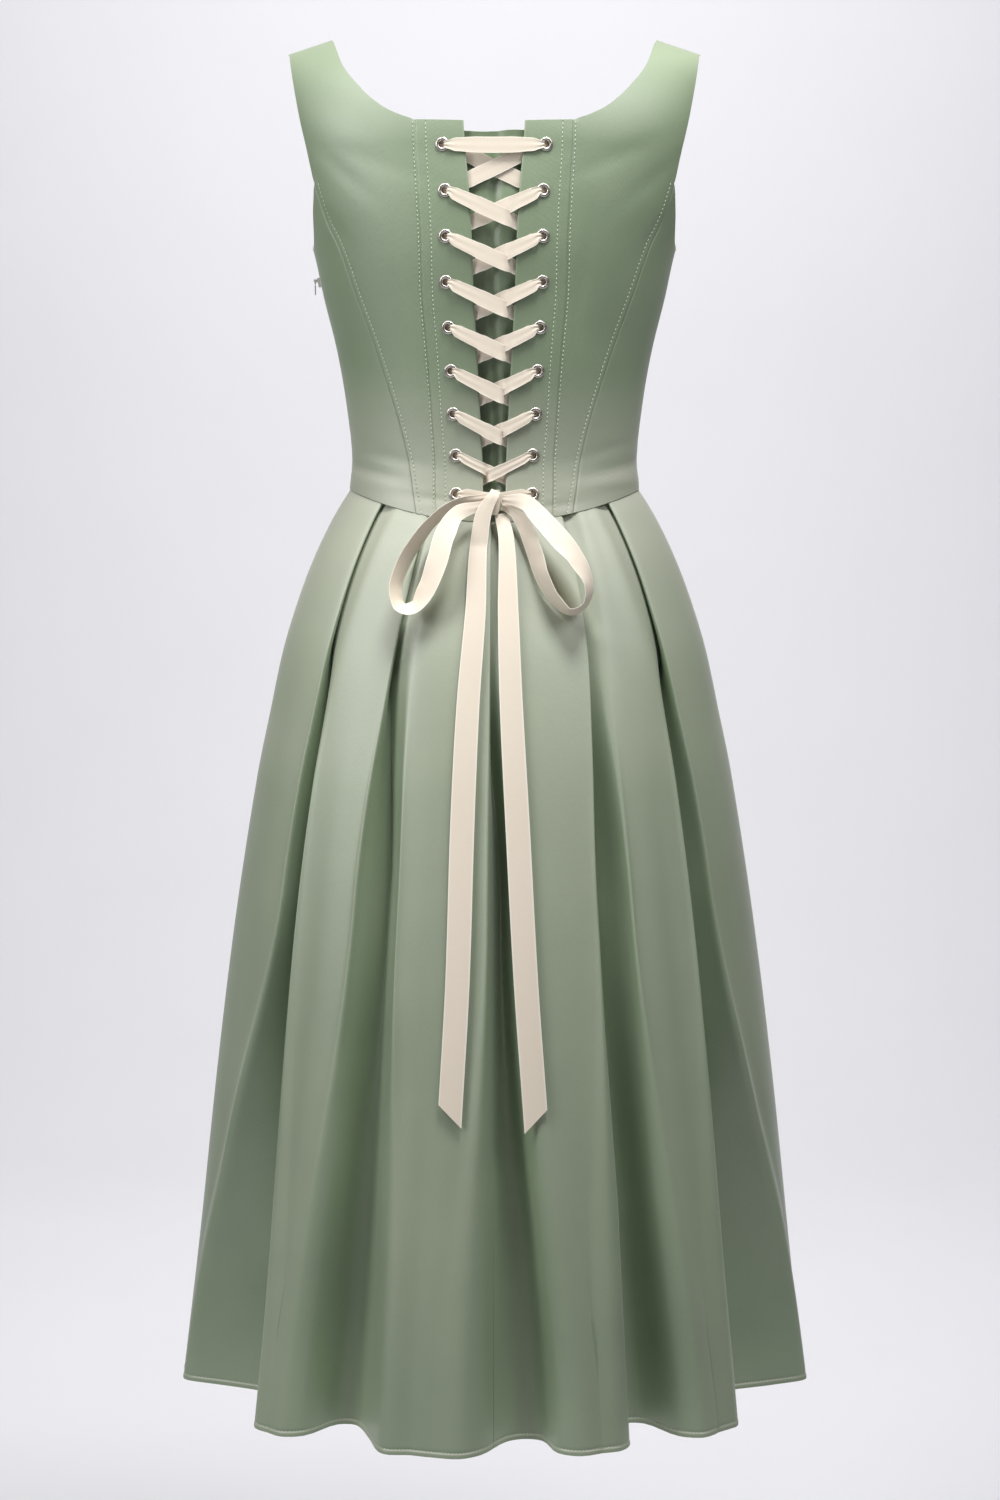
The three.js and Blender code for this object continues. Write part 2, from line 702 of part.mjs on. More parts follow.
// Lacing. The ribbon goes in at the first pair, crosses inside, and from the second pair on
// comes out of each eyelet, crosses over the gap and goes under the far panel.
const upright = new THREE.Vector3(0, 0, 1);
const laceWidths = {
  hole: 4.2,
  rim: 5.6,
  panel: 7,
  edge: 7.2,
  inside: 7.5,
  barEnd: 9.5,
  cross: 10.5,
  bar: 12.5,
};
const gapHalf = tableCurve(backGapEdge, 'rise', 'x');
const lastCrossing = eyeletRows.length - 2;
const fullWidthGap = 15.5;

function laceStation(x, rise, lift, width) {
  const place = onBodice(angleAt(x, rise), rise, lift).add(new THREE.Vector3(0, -seamGap / 2, 0));
  return { place, width, across: upright };
}

// Through an eyelet from the inside to the outside, hugging its outer rim
const eyeletPass = [
  { outward: -4, up: 0.3, lift: -3.5, width: laceWidths.rim },
  { outward: 0.2, up: 0, lift: -3.1, width: laceWidths.hole },
  { outward: 0.9, up: 0, lift: -1.9, width: laceWidths.hole },
  { outward: 0.9, up: 0, lift: 0.6, width: laceWidths.hole },
  { outward: 0.2, up: 0, lift: 2.2, width: laceWidths.hole },
  { outward: -4, up: -0.5, lift: 2.6, width: laceWidths.rim },
];
function threadEyelet(side, row) {
  const { x, rise } = eyeletRows[row];
  return eyeletPass.map(({ outward, up, lift, width }) => {
    return laceStation(side * (x + outward), rise + up, lift, width);
  });
}

// A crossing, from the near edge of the gap to beyond the far one: place as a share of the
// gap's half width and a distance more, lift of the upper and of the lower ribbon, and width
const crossing = [
  { share: 1, more: 0, over: 1.3, under: 1.3, width: laceWidths.edge },
  { share: 0.55, more: 0, over: 1.8, under: -1.3, width: laceWidths.edge },
  { share: 0, more: 0, over: 1.8, under: -1.9, width: laceWidths.cross },
  { share: -0.5, more: 0, over: 1.2, under: -2.6, width: laceWidths.edge },
  { share: -1, more: 3.6, over: -2.7, under: -2.7, width: laceWidths.edge },
  { share: -1, more: -2, over: -2.9, under: -2.9, width: laceWidths.edge },
];
const besideEyelet = { near: { inward: 9, lift: 1.5 }, far: { inward: 11, lift: -3.1 } };
const rimReach = 4;

// Outside from one eyelet row to the inside of the next row on the far side
function crossGap(side, row, over) {
  const from = eyeletRows[row];
  const to = eyeletRows[row + 1];
  const edge = gapHalf(from.rise - 10);
  const narrow = Math.min(edge / fullWidthGap, 1);
  const station = (x, lift, width) => {
    const stride = (from.x - rimReach - x) / (from.x + to.x - 2 * rimReach);
    return laceStation(side * x, lerp(from.rise - 1, to.rise + 3, stride), lift, width * narrow);
  };
  const { near, far } = besideEyelet;
  return [
    station(from.x - near.inward, near.lift, laceWidths.panel),
    ...crossing.map((spot) => {
      const lift = over ? spot.over : spot.under;
      return station(spot.share * edge + spot.more, lift, spot.width);
    }),
    station(far.inward - to.x, far.lift, laceWidths.inside),
  ];
}

// The lace half that starts at the middle of the top bar: out to its eyelet and in through it,
// across behind the gap to the second row, then over the gap row by row to the knot
const insideDepth = { right: 2.7, left: 4.4 };
function laceStations(side) {
  const top = eyeletRows[0];
  const next = eyeletRows[1];
  const end = eyeletRows[eyeletRows.length - 1];
  const depth = side > 0 ? insideDepth.right : insideDepth.left;
  const stations = [
    laceStation(side * (seamGap / 2), top.rise - 1, 1.2, laceWidths.bar),
    laceStation(side * 14, top.rise - 0.8, 1.2, laceWidths.bar),
    laceStation(side * (top.x - 12), top.rise - 0.5, 1.3, laceWidths.barEnd),
    ...threadEyelet(side, 0).reverse(),
    laceStation(side * (top.x - 14), top.rise - 5, -3.2, laceWidths.inside),
    laceStation(side * 20, top.rise - 9, -depth, laceWidths.cross),
    laceStation(0, top.rise - 19, -depth, laceWidths.cross),
    laceStation(-side * 20, next.rise + 9, -depth, laceWidths.cross),
    laceStation(-side * (next.x - 13), next.rise + 4, -3.3, laceWidths.inside),
  ];
  let here = -side;
  for (let row = 1; row < eyeletRows.length - 1; row += 1) {
    stations.push(...threadEyelet(here, row));
    const leftOver = row < lastCrossing;
    stations.push(...crossGap(here, row, here < 0 ? leftOver : !leftOver));
    here = -here;
  }
  stations.push(...threadEyelet(here, eyeletRows.length - 1));
  stations.push(laceStation(here * (end.x - 9), end.rise - 1, 1.6, laceWidths.panel));
  stations.push(laceStation(here * 15, end.rise - 2.5, 1.5, laceWidths.panel));
  stations.push(laceStation(here * 5.9, end.rise - 4, 1.8, laceWidths.panel));
  return stations;
}
addPiece('lace_left', ribbonGeometry(laceStations(-1)), ribbon);
addPiece('lace_right', ribbonGeometry(laceStations(1)), ribbon);

// Knot: a rounded block of wrapped ribbon in front of the last pair
const knot = { half: 5.4, top: -371.5, bottom: -391.5, corner: 3.5, y: -83.4, depth: 7.6, bevel: 1.2 };
function knotGeometry() {
  const { half, top, bottom, corner, bevel } = knot;
  const [left, right, low, high] = [-half + bevel, half - bevel, bottom + bevel, top - bevel];
  const outline = new THREE.Shape();
  outline.moveTo(left + corner, low);
  outline.absarc(right - corner, low + corner, corner, -quarter, 0, false);
  outline.absarc(right - corner, high - corner, corner, 0, quarter, false);
  outline.absarc(left + corner, high - corner, corner, quarter, 2 * quarter, false);
  outline.absarc(left + corner, low + corner, corner, 2 * quarter, 3 * quarter, false);
  const rounding = { bevelSize: bevel, bevelThickness: bevel, bevelSegments: 1, curveSegments: 3 };
  const form = new THREE.ExtrudeGeometry(outline, { depth: knot.depth, ...rounding });
  return form.rotateX(quarter).translate(0, knot.y - bevel, 0);
}
addPiece('bow_knot', knotGeometry(), ribbon);

// Bow loops: place, width of ribbon and turn of its face about its own line
const leftLoop = [
  { x: -6.7, y: -87.4, z: -377.6, width: 7, turn: -4 },
  { x: -32.5, y: -92, z: -383.5, width: 11, turn: -35 },
  { x: -51, y: -96, z: -396.5, width: 15, turn: -52 },
  { x: -64, y: -99, z: -412.5, width: 19, turn: -55 },
  { x: -75, y: -103, z: -430.5, width: 20, turn: -55 },
  { x: -82, y: -110, z: -451.5, width: 20, turn: -60 },
  { x: -78.5, y: -115, z: -465.5, width: 20, turn: -66 },
  { x: -66.5, y: -120, z: -466.5, width: 20, turn: -60 },
  { x: -55.5, y: -121, z: -451, width: 20, turn: -42 },
  { x: -47, y: -117, z: -428, width: 20, turn: -30 },
  { x: -41, y: -109, z: -407.5, width: 18.5, turn: -24 },
  { x: -30.5, y: -99, z: -390.5, width: 13, turn: -12 },
  { x: -7, y: -91.4, z: -383.3, width: 7, turn: 0 },
];
const rightLoop = [
  { x: 6.7, y: -91.4, z: -379, width: 7, turn: 0 },
  { x: 25.5, y: -98, z: -381, width: 13, turn: -12 },
  { x: 38, y: -106, z: -393, width: 17, turn: -22 },
  { x: 54, y: -115, z: -410.5, width: 20, turn: -32 },
  { x: 68.5, y: -121, z: -428, width: 20, turn: -48 },
  { x: 78, y: -124, z: -448.5, width: 20, turn: -68 },
  { x: 75.5, y: -124, z: -464, width: 20, turn: -74 },
  { x: 63.5, y: -122, z: -470.5, width: 20, turn: -70 },
  { x: 51, y: -119, z: -461, width: 20, turn: -62 },
  { x: 40.5, y: -115, z: -444, width: 20, turn: -54 },
  { x: 34, y: -108, z: -424, width: 19, turn: -46 },
  { x: 24.5, y: -98, z: -399.5, width: 15, turn: -32 },
  { x: 15.5, y: -92, z: -388.5, width: 9, turn: -12 },
  { x: 6.7, y: -87.4, z: -384.5, width: 7, turn: 0 },
];

// Ribbon through table rows, its face turned about its own line from the plane of the back
function tableRibbon(rows, steps) {
  const curve = new THREE.CatmullRomCurve3(rows.map(({ x, y, z }) => new THREE.Vector3(x, y, z)));
  const numbered = rows.map((row, i) => ({ ...row, i }));
  const widthAt = tableCurve(numbered, 'i', 'width');
  const turnAt = tableCurve(numbered, 'i', 'turn');
  const last = rows.length - 1;
  return Array.from({ length: steps + 1 }, (_, i) => {
    const t = i / steps;
    const along = curve.getTangent(t);
    const across = new THREE.Vector3(-along.z, 0, along.x).normalize();
    across.applyAxisAngle(along, radians(turnAt(t * last)));
    return { place: curve.getPoint(t), width: widthAt(t * last), across };
  });
}
const loopSteps = 34;
addPiece('bow_loop_left', ribbonGeometry(tableRibbon(leftLoop, loopSteps)), ribbon);
addPiece('bow_loop_right', ribbonGeometry(tableRibbon(rightLoop, loopSteps)), ribbon);

// Tails: they hang over the skirt, just clear of it, with slanted ends
const leftTail = [
  { x: -5.6, z: -390.95, width: 11, off: 1 },
  { x: -12.5, z: -412, width: 14, off: 4 },
  { x: -15.5, z: -470, width: 17, off: 4 },
  { x: -21.5, z: -545, width: 19, off: 3 },
  { x: -26, z: -640, width: 20, off: 2.4 },
  { x: -30, z: -770, width: 20, off: 2.4 },
  { x: -36, z: -876, width: 20, off: 2.4 },
];
const rightTail = [
  { x: 5.7, z: -391.05, width: 11, off: 1 },
  { x: 10, z: -412, width: 13, off: 4 },
  { x: 11.5, z: -470, width: 17, off: 4 },
  { x: 14, z: -545, width: 19, off: 3 },
  { x: 19, z: -640, width: 20, off: 2.4 },
  { x: 26, z: -770, width: 20, off: 2.4 },
  { x: 34, z: -880, width: 20, off: 2.4 },
];
const tailSlant = 9;
function tailStations(rows, side, steps) {
  const top = rows[0];
  const bottom = rows[rows.length - 1];
  const down = rows.map((row) => ({ ...row, drop: top.z - row.z }));
  const xAt = tableCurve(down, 'drop', 'x');
  const widthAt = tableCurve(down, 'drop', 'width');
  const offAt = tableCurve(down, 'drop', 'off');
  return Array.from({ length: steps + 1 }, (_, i) => {
    const z = lerp(top.z, bottom.z, i / steps);
    const drop = top.z - z;
    const x = xAt(drop);
    const depth = skirtBack(z);
    const half = skirtHalf(z);
    const y = -depth * Math.sqrt(1 - (x / half) ** 2) - offAt(drop);
    const across = new THREE.Vector3(1, (depth * x) / (half * half), 0).normalize();
    const slant = i === steps ? -side * tailSlant : 0;
    return { place: new THREE.Vector3(x, y, z), width: widthAt(drop), across, slant };
  });
}
addPiece('tail_left', ribbonGeometry(tailStations(leftTail, -1, 16)), ribbon);
addPiece('tail_right', ribbonGeometry(tailStations(rightTail, 1, 16)), ribbon);

// Concealed zip in the left side seam: tape inside, slider and pull tab outside
const zip = { halfTape: 11, tape: 1, slider: -197 };
function besideSideSeam(row, seam, next, depth) {
  const reach = row[next].clone().sub(row[seam]);
  const share = zip.halfTape / reach.length();
  const aside = -Math.sign(reach.y) * Math.abs(reach.x);
  const inward = new THREE.Vector3(Math.abs(reach.y), aside, 0).normalize();
  return row[seam].clone().addScaledVector(reach, share).addScaledVector(inward, depth);
}
function tapeGrid(depth) {
  const behind = mirrored(sideBackPanel.inner);
  const ahead = mirrored(frontPanel.inner);
  const seam = behind[0].length - 1;
  return behind.slice(0, -1).map((row, r) => {
    const middle = row[seam].clone().setY(0);
    middle.x += depth;
    const back = besideSideSeam(row, seam, seam - 1, depth);
    const front = besideSideSeam(ahead[r], 0, 1, depth);
    return [back, middle, front];
  });
}
addPiece('zip_tape', wallGeometry(tapeGrid(seamGap), tapeGrid(seamGap + zip.tape)), zipTape);

const slider = { width: 4.6, height: 8, thickness: 2, sunk: 0.1, pin: 0.6, pinClear: 2.3, pinRise: 1.5 };
const ear = { reach: 4.6, width: 0.9, height: 2.4, inward: 1.4 };
const roundSides = 10;
const sliderFace = -bodiceHalf(zip.slider) - seamGap;
const hingeX = sliderFace - slider.thickness - slider.pinClear;
const hinge = new THREE.Vector3(hingeX, 0, zip.slider + slider.pinRise);

// Slider: a body on the seam, two ears and the pin between them
function sliderSolid() {
  const reach = slider.height / 2;
  const lean = (bodiceHalf(zip.slider + reach) - bodiceHalf(zip.slider - reach)) / slider.height;
  const body = new THREE.BoxGeometry(slider.thickness, slider.width, slider.height);
  body.rotateY(-Math.atan(lean)).translate(sliderFace - slider.thickness / 2 - slider.sunk, 0, zip.slider);
  let solid = asSolid(body);
  for (const side of [-1, 1]) {
    const plate = new THREE.BoxGeometry(ear.reach, ear.width, ear.height);
    plate.translate(hinge.x + ear.inward, side * (slider.width - ear.width) * 0.5, hinge.z);
    solid = solid.add(asSolid(plate));
  }
  const pin = new THREE.CylinderGeometry(slider.pin, slider.pin, slider.width - ear.width, roundSides);
  pin.translate(hinge.x, 0, hinge.z);
  return solid.add(asSolid(pin));
}
addPiece('zip_slider', asGeometry(sliderSolid()), nickel);

// Pull tab: an eye round the pin and a drop-shaped plate, hanging plumb
const tab = { length: 12, half: 2.2, plate: 0.9, neck: 1.2, flare: 4.2 };
const eye = { radius: 1.5, hole: 0.95, width: 2 };
function tabSolid() {
  const ring = new THREE.CylinderGeometry(eye.radius, eye.radius, eye.width, roundSides);
  const round = tab.half - tab.length;
  const outline = new THREE.Shape();
  outline.moveTo(-eye.width / 2, -tab.neck);
  outline.lineTo(eye.width / 2, -tab.neck);
  outline.lineTo(tab.half, -tab.flare);
  outline.lineTo(tab.half, round);
  outline.absarc(0, round, tab.half, 0, -Math.PI, true);
  outline.lineTo(-tab.half, -tab.flare);
  const settings = { depth: tab.plate, bevelEnabled: false, curveSegments: 6 };
  const plate = new THREE.ExtrudeGeometry(outline, settings);
  plate.rotateX(quarter).rotateZ(quarter).translate(-tab.plate / 2, 0, 0);
  const bore = new THREE.CylinderGeometry(eye.hole, eye.hole, 2 * eye.width, roundSides);
  return asSolid(ring).add(asSolid(plate)).subtract(asSolid(bore));
}
const pullTab = addPiece('zip_pull_tab', asGeometry(tabSolid()), nickel);
pullTab.position.copy(hinge);

export default dress;
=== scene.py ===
"""Corset dress in heavy sage-green satin: laced back bodice and a pleated midi skirt."""

import math
from collections import namedtuple

import bmesh
import bpy
from mathutils import Matrix, Vector


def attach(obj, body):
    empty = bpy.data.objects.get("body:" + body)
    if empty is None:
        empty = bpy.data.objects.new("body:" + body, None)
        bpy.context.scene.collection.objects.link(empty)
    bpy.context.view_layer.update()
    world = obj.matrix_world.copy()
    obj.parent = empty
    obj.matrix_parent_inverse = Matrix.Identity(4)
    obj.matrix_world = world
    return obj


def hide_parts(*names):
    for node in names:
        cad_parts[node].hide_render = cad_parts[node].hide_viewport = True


bl_info = {
    "name": "Corset dress",
    "version": (1, 0, 0),
    "blender": (4, 5, 0),
    "location": "View3D > Sidebar > Dress",
    "description": "Builds a laced satin corset dress round its packed frame",
    "category": "Object",
}

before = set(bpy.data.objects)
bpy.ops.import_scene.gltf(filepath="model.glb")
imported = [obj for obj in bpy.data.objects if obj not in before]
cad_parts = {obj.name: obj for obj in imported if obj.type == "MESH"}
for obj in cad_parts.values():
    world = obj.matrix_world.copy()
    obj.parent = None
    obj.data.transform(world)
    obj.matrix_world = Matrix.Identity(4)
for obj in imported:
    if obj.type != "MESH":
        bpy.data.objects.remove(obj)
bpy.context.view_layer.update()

MM = 0.001
SIDES = (("right", 1), ("left", -1))

# Sizes in millimetres, as the dress is cut
SEAM_GAP = 0.3
HALF_SEAM = 0.04
HEM_LEVEL = -1151
ROLL_START = -88
ROLL_LENGTH = 150
CREST_MIDDLE = 156.6
CREST_FALL = 0.322
WAIST_SIDE = -372.8
WAIST_DIP_BACK = 25
WAIST_DIP_FRONT = 21
WAIST_GAP = 0.45
WAIST_TUCK = 0.35
RIBBON_WIDTH = 20

Section = namedtuple("Section", "z half back front")
Spot = namedtuple("Spot", "x rise")

BODICE_SECTIONS = (
    Section(-402, 127, 86, 95),
    Section(-372, 124.5, 81.5, 90),
    Section(-345, 122.5, 80, 89.5),
    Section(-297, 127.5, 85, 98),
    Section(-254, 135, 91, 112),
    Section(-211, 145.5, 97, 126),
    Section(-170, 154.5, 103, 128),
    Section(-130, 167, 105, 119),
    Section(-88, 177, 104, 104),
    Section(-20, 184, 104, 104),
    Section(62, 186, 104, 104),
)
SKIRT_SECTIONS = (
    Section(-1151, 276, 245, 236),
    Section(-1030, 261, 230, 225),
    Section(-870, 243, 207, 207),
    Section(-740, 226, 184, 188),
    Section(-620, 206.5, 158, 165),
    Section(-565, 195, 144, 152),
    Section(-510, 183, 128, 138),
    Section(-465, 169, 113, 124),
    Section(-430, 155.5, 101, 112),
    Section(-398, 140, 89, 99),
    Section(-372, 124.5, 82, 90),
)

# Seam and edge lines of the right half: offset from the centre, and rise up the form
GAP_EDGE = (
    Spot(9.2, -398),
    Spot(9.8, -351),
    Spot(12.6, -291),
    Spot(16.7, -216),
    Spot(20, -135),
    Spot(25.2, -74),
)
LACING_SEAM = (
    Spot(49.5, -396),
    Spot(49.8, -360),
    Spot(52.3, -310),
    Spot(59.4, -217),
    Spot(62.3, -132),
    Spot(65.4, -71.5),
)
PRINCESS_SEAM = (
    Spot(66.4, -390),
    Spot(71.5, -352),
    Spot(81.2, -310),
    Spot(94, -270),
    Spot(114.8, -213),
    Spot(129.8, -171),
    Spot(140.7, -148.5),
    Spot(150.8, -117),
)
NECKLINE = (
    Spot(65.4, -71.5),
    Spot(80.5, -66),
    Spot(95, -57.5),
    Spot(111, -41),
    Spot(127, -12),
    Spot(135.5, 34),
    Spot(138.5, 62),
)
ARMHOLE = (
    Spot(150.8, -117),
    Spot(155.8, -94),
    Spot(162.5, -62),
    Spot(167.5, -30),
    Spot(172, 15),
    Spot(174.6, 62),
)
FRONT_PRINCESS = (
    Spot(46, -392),
    Spot(52, -340),
    Spot(66, -280),
    Spot(80, -215),
    Spot(84, -160),
    Spot(80, -112),
)
FRONT_NECKLINE = (
    Spot(80, -112),
    Spot(97, -100),
    Spot(110, -84),
    Spot(120, -60),
    Spot(130, -20),
    Spot(136.5, 28),
    Spot(138.5, 62),
)
FRONT_ARMHOLE = (
    Spot(154.4, -171.5),
    Spot(150.5, -152),
    Spot(148.5, -125),
    Spot(152.5, -95),
    Spot(162, -55),
    Spot(170, 0),
    Spot(174.6, 62),
)
EYELET_ROWS = (
    Spot(42.5, -88.3),
    Spot(40.4, -125.6),
    Spot(40.1, -162.7),
    Spot(39.8, -199.9),
    Spot(38, -237),
    Spot(36.1, -272.7),
    Spot(34.4, -308.3),
    Spot(32.2, -342.7),
    Spot(32, -374.8),
)

# Pleats by degrees from the centre back: a knife fold at the waist that opens lower down to a
# first ridge, a valley and a last ridge, with the valley's depth in millimetres
Pleat = namedtuple("Pleat", "waist fold m1 mv m2 m_in h1 hv h2 h_in")
BACK_PLEATS = (
    Pleat(-49.5, "first", -54, -51.5, -48, 44, -82, -58, -47, 82),
    Pleat(-26, "first", -31.5, -27, -21, 36, -40, -32, -19, 58),
    Pleat(-1, "first", -1.5, 1.5, 5, 36, -6, 6, 15, 50),
    Pleat(27, "first", 22.5, 26, 31, 38, 22, 31, 39, 64),
    Pleat(50.5, "last", 48, 52, 56, 44, 47.5, 58, 82, 82),
)
FRONT_PLEATS = (
    Pleat(128, "last", 121, 126, 131, 36, 104, 119, 132, 66),
    Pleat(154, "last", 150, 155, 159, 34, 146, 156, 166, 50),
    Pleat(207, "first", 202, 206, 211, 33, 195, 204, 215, 54),
    Pleat(232, "first", 228, 233, 238, 37, 228, 240, 256, 62),
)
PLEAT_UNDERLAP = 20
LAYER_STEP = 1.05
EMERGE_LENGTH = 15
OPEN_BY = 0.42
RIDGE_MIDDLE = 2.6
RIDGE_HEM = 18
SOFT_LIMIT = 0.4

# Creases pressed by wear and by the lacing's pull, on both halves of the back
Crease = namedtuple("Crease", "x rise turn long wide deep")
BODICE_CREASES = (
    Crease(112, -352, 12, 34, 4.5, 0.7),
    Crease(104, -366, 6, 30, 4, -0.5),
    Crease(96, -338, 16, 26, 4, 0.45),
    Crease(-108, -356, -14, 36, 4.5, 0.7),
    Crease(-98, -343, -10, 30, 4, 0.5),
    Crease(-118, -330, -18, 24, 4, 0.4),
    Crease(58, -384, 4, 22, 3.5, 0.4),
    Crease(-60, -378, -6, 24, 3.5, 0.45),
    Crease(140, -150, 55, 26, 5, 0.6),
    Crease(-138, -146, -52, 28, 5, 0.65),
    Crease(128, -118, 40, 34, 7, 0.5),
    Crease(-124, -110, -42, 32, 7, 0.55),
    Crease(100, -98, 24, 40, 8, 0.5),
    Crease(-96, -102, -20, 42, 8, 0.45),
    Crease(74, -196, 82, 46, 6, 0.4),
    Crease(-76, -250, -84, 52, 6, 0.4),
)

# Loose folds of the skirt between its pleats: angle at the top and at the hem, the shares of
# the length where it starts and is full, and its half width and depth in millimetres
Fold = namedtuple("Fold", "top hem start full wide deep")
SKIRT_FOLDS = (
    Fold(-66, -74, 0.3, 0.9, 30, 5),
    Fold(-38, -50, 0.25, 0.7, 20, 3.5),
    Fold(-14, -24, 0.5, 0.75, 13, 4),
    Fold(-9, -15, 0.12, 0.4, 12, 1.6),
    Fold(12, 21, 0.3, 0.9, 20, 3),
    Fold(38, 46, 0.2, 0.6, 14, 3),
    Fold(64, 70, 0.35, 0.9, 28, 5),
    Fold(98, 96, 0.3, 0.9, 26, 6),
    Fold(141, 139, 0.3, 0.8, 24, 5),
    Fold(176, 180, 0.35, 0.9, 30, 6),
    Fold(190, 187, 0.2, 0.6, 16, 2.5),
    Fold(220, 222, 0.3, 0.8, 22, 5),
    Fold(262, 268, 0.3, 0.9, 26, 6),
)


def lerp(a, b, t):
    return a + (b - a) * t


def clamp(value, low=0.0, high=1.0):
    return min(max(value, low), high)


def smooth(t):
    t = clamp(t)
    return t * t * (3 - 2 * t)


def bump(distance, width):
    """Bell-shaped share of a line's relief at a distance from it."""
    return math.exp(-((distance / width) ** 2))


def table_curve(rows, key, column):
    """Smooth curve through one column of a table that rises in its key."""
    at = [getattr(row, key) for row in rows]
    value = [getattr(row, column) for row in rows]
    last = len(rows) - 1
    slopes = []
    for i in range(len(rows)):
        low, high = max(i - 1, 0), min(i + 1, last)
        slopes.append((value[high] - value[low]) / (at[high] - at[low]))

    def evaluate(where):
        i = 0
        while i < last - 1 and where > at[i + 1]:
            i += 1
        span = at[i + 1] - at[i]
        t = clamp((where - at[i]) / span)
        from_start = (1 + 2 * t) * (1 - t) ** 2 * value[i] + t * (1 - t) ** 2 * span * slopes[i]
        from_end = t * t * (3 - 2 * t) * value[i + 1] + t * t * (t - 1) * span * slopes[i + 1]
        return from_start + from_end

    return evaluate


bodice_half = table_curve(BODICE_SECTIONS, "z", "half")
bodice_back = table_curve(BODICE_SECTIONS, "z", "back")
bodice_front = table_curve(BODICE_SECTIONS, "z", "front")
skirt_half = table_curve(SKIRT_SECTIONS, "z", "half")
skirt_back = table_curve(SKIRT_SECTIONS, "z", "back")
skirt_front = table_curve(SKIRT_SECTIONS, "z", "front")


def waist_rise(angle):
    """Rise of the waist seam: highest at the sides, dipping at the centre back and front."""
    dip = WAIST_DIP_BACK if math.cos(angle) > 0 else WAIST_DIP_FRONT
    return WAIST_SIDE - dip * math.cos(angle) ** 2


def bodice_point(angle, rise):
    """Outer face of the bodice; above ROLL_START it rolls over to the crest of the shoulder."""
    level = min(rise, ROLL_START)
    depth = bodice_back(level) if math.cos(angle) > 0 else bodice_front(level)
    roll = max(rise - ROLL_START, 0) / ROLL_LENGTH * math.pi / 2
    x = bodice_half(rise) * math.sin(angle)
    y = -depth * math.cos(angle) * math.cos(roll)
    crest = CREST_FALL * (CREST_MIDDLE - abs(x))
    z = ROLL_START + (crest - ROLL_START) * math.sin(roll) if roll > 0 else rise
    return Vector((x, y, z))


def on_bodice(angle, rise, lift):
    """Point on the bodice, lifted out from it."""
    turn, up = 1e-3, 0.05
    around = bodice_point(angle + turn, rise) - bodice_point(angle - turn, rise)
    upward = bodice_point(angle, rise + up) - bodice_point(angle, rise - up)
    return bodice_point(angle, rise) + around.cross(upward).normalized() * lift


def outward(angle, rise):
    return (on_bodice(angle, rise, 1) - bodice_point(angle, rise)).normalized()


def angle_at(x, rise):
    return math.asin(clamp(x / bodice_half(rise), -1, 1))


def seam_line(rows, front=False):
    """Even Catmull-Rom curve down a seam, as angle and rise."""
    spots = []
    for row in rows:
        angle = angle_at(row.x, row.rise)
        spots.append(Vector((math.pi - angle if front else angle, row.rise)))
    last = len(spots) - 1

    def evaluate(t):
        place = clamp(t) * last
        i = min(int(place), last - 1)
        w = place - i
        before, start, end, after = (spots[clamp(k, 0, last)] for k in (i - 1, i, i + 1, i + 2))
        leaving, arriving = (end - before) * 0.5, (after - start) * 0.5
        square, cube = w * w, w * w * w
        return (
            start * (2 * cube - 3 * square + 1)
            + leaving * (cube - 2 * square + w)
            + end * (3 * square - 2 * cube)
            + arriving * (cube - square)
        )

    return evaluate


def side_seam(t):
    return Vector((math.pi / 2, lerp(WAIST_SIDE, -171.5, t)))


def beside(line, direction):
    """A seam line moved sideways by half the gap between two panels."""

    def evaluate(t):
        spot = line(t)
        turn = 1e-3
        reach = (bodice_point(spot.x + turn, spot.y) - bodice_point(spot.x, spot.y)).length / turn
        return Vector((spot.x + direction * HALF_SEAM / reach, spot.y))

    return evaluate


# Share of a strapped panel's height where its seam ends and its open edge begins
SEAM_TOP = 10 / 16


def then(lower, upper):
    """One line that runs up a seam and then along an open edge."""

    def evaluate(t):
        if t <= SEAM_TOP:
            return lower(t / SEAM_TOP)
        return upper((t - SEAM_TOP) / (1 - SEAM_TOP))

    return evaluate


def panel_place(first, last, front=False, top_sag=0.0):
    """Function from place across, place up and lift to a point of a bodice panel."""
    shift = Vector((0, SEAM_GAP / 2 if front else -SEAM_GAP / 2, 0))
    foot_first, foot_last = first(0), last(0)

    def place(u, v, lift=0.0):
        a, b = first(v), last(v)
        foot = foot_first.lerp(foot_last, u)
        spot = a.lerp(b, u)
        rise = spot.y + (waist_rise(foot.x) - foot.y) * (1 - v) ** 4
        rise -= top_sag * math.sin(math.pi * u) * v**4
        return on_bodice(spot.x, rise, lift) + shift

    return place


def mirrored(place):
    def evaluate(u, v, lift=0.0):
        point = place(u, v, lift)
        return Vector((-point.x, point.y, point.z))

    return evaluate


gap_line = seam_line(GAP_EDGE)
lacing_line = seam_line(LACING_SEAM)
princess_line = seam_line(PRINCESS_SEAM)
front_line = seam_line(FRONT_PRINCESS, front=True)


def front_line_left(t):
    spot = front_line(t)
    return Vector((2 * math.pi - spot.x, spot.y))


lacing_place = panel_place(gap_line, beside(lacing_line, -1))
back_place = panel_place(
    then(beside(lacing_line, 1), seam_line(NECKLINE)),
    then(beside(princess_line, -1), seam_line(ARMHOLE)),
)
side_back_place = panel_place(beside(princess_line, 1), side_seam, top_sag=16)
front_place = panel_place(
    then(side_seam, seam_line(FRONT_ARMHOLE, front=True)),
    then(beside(front_line, -1), seam_line(FRONT_NECKLINE, front=True)),
    front=True,
)
front_centre_place = panel_place(
    beside(front_line, 1), beside(front_line_left, -1), front=True, top_sag=10
)


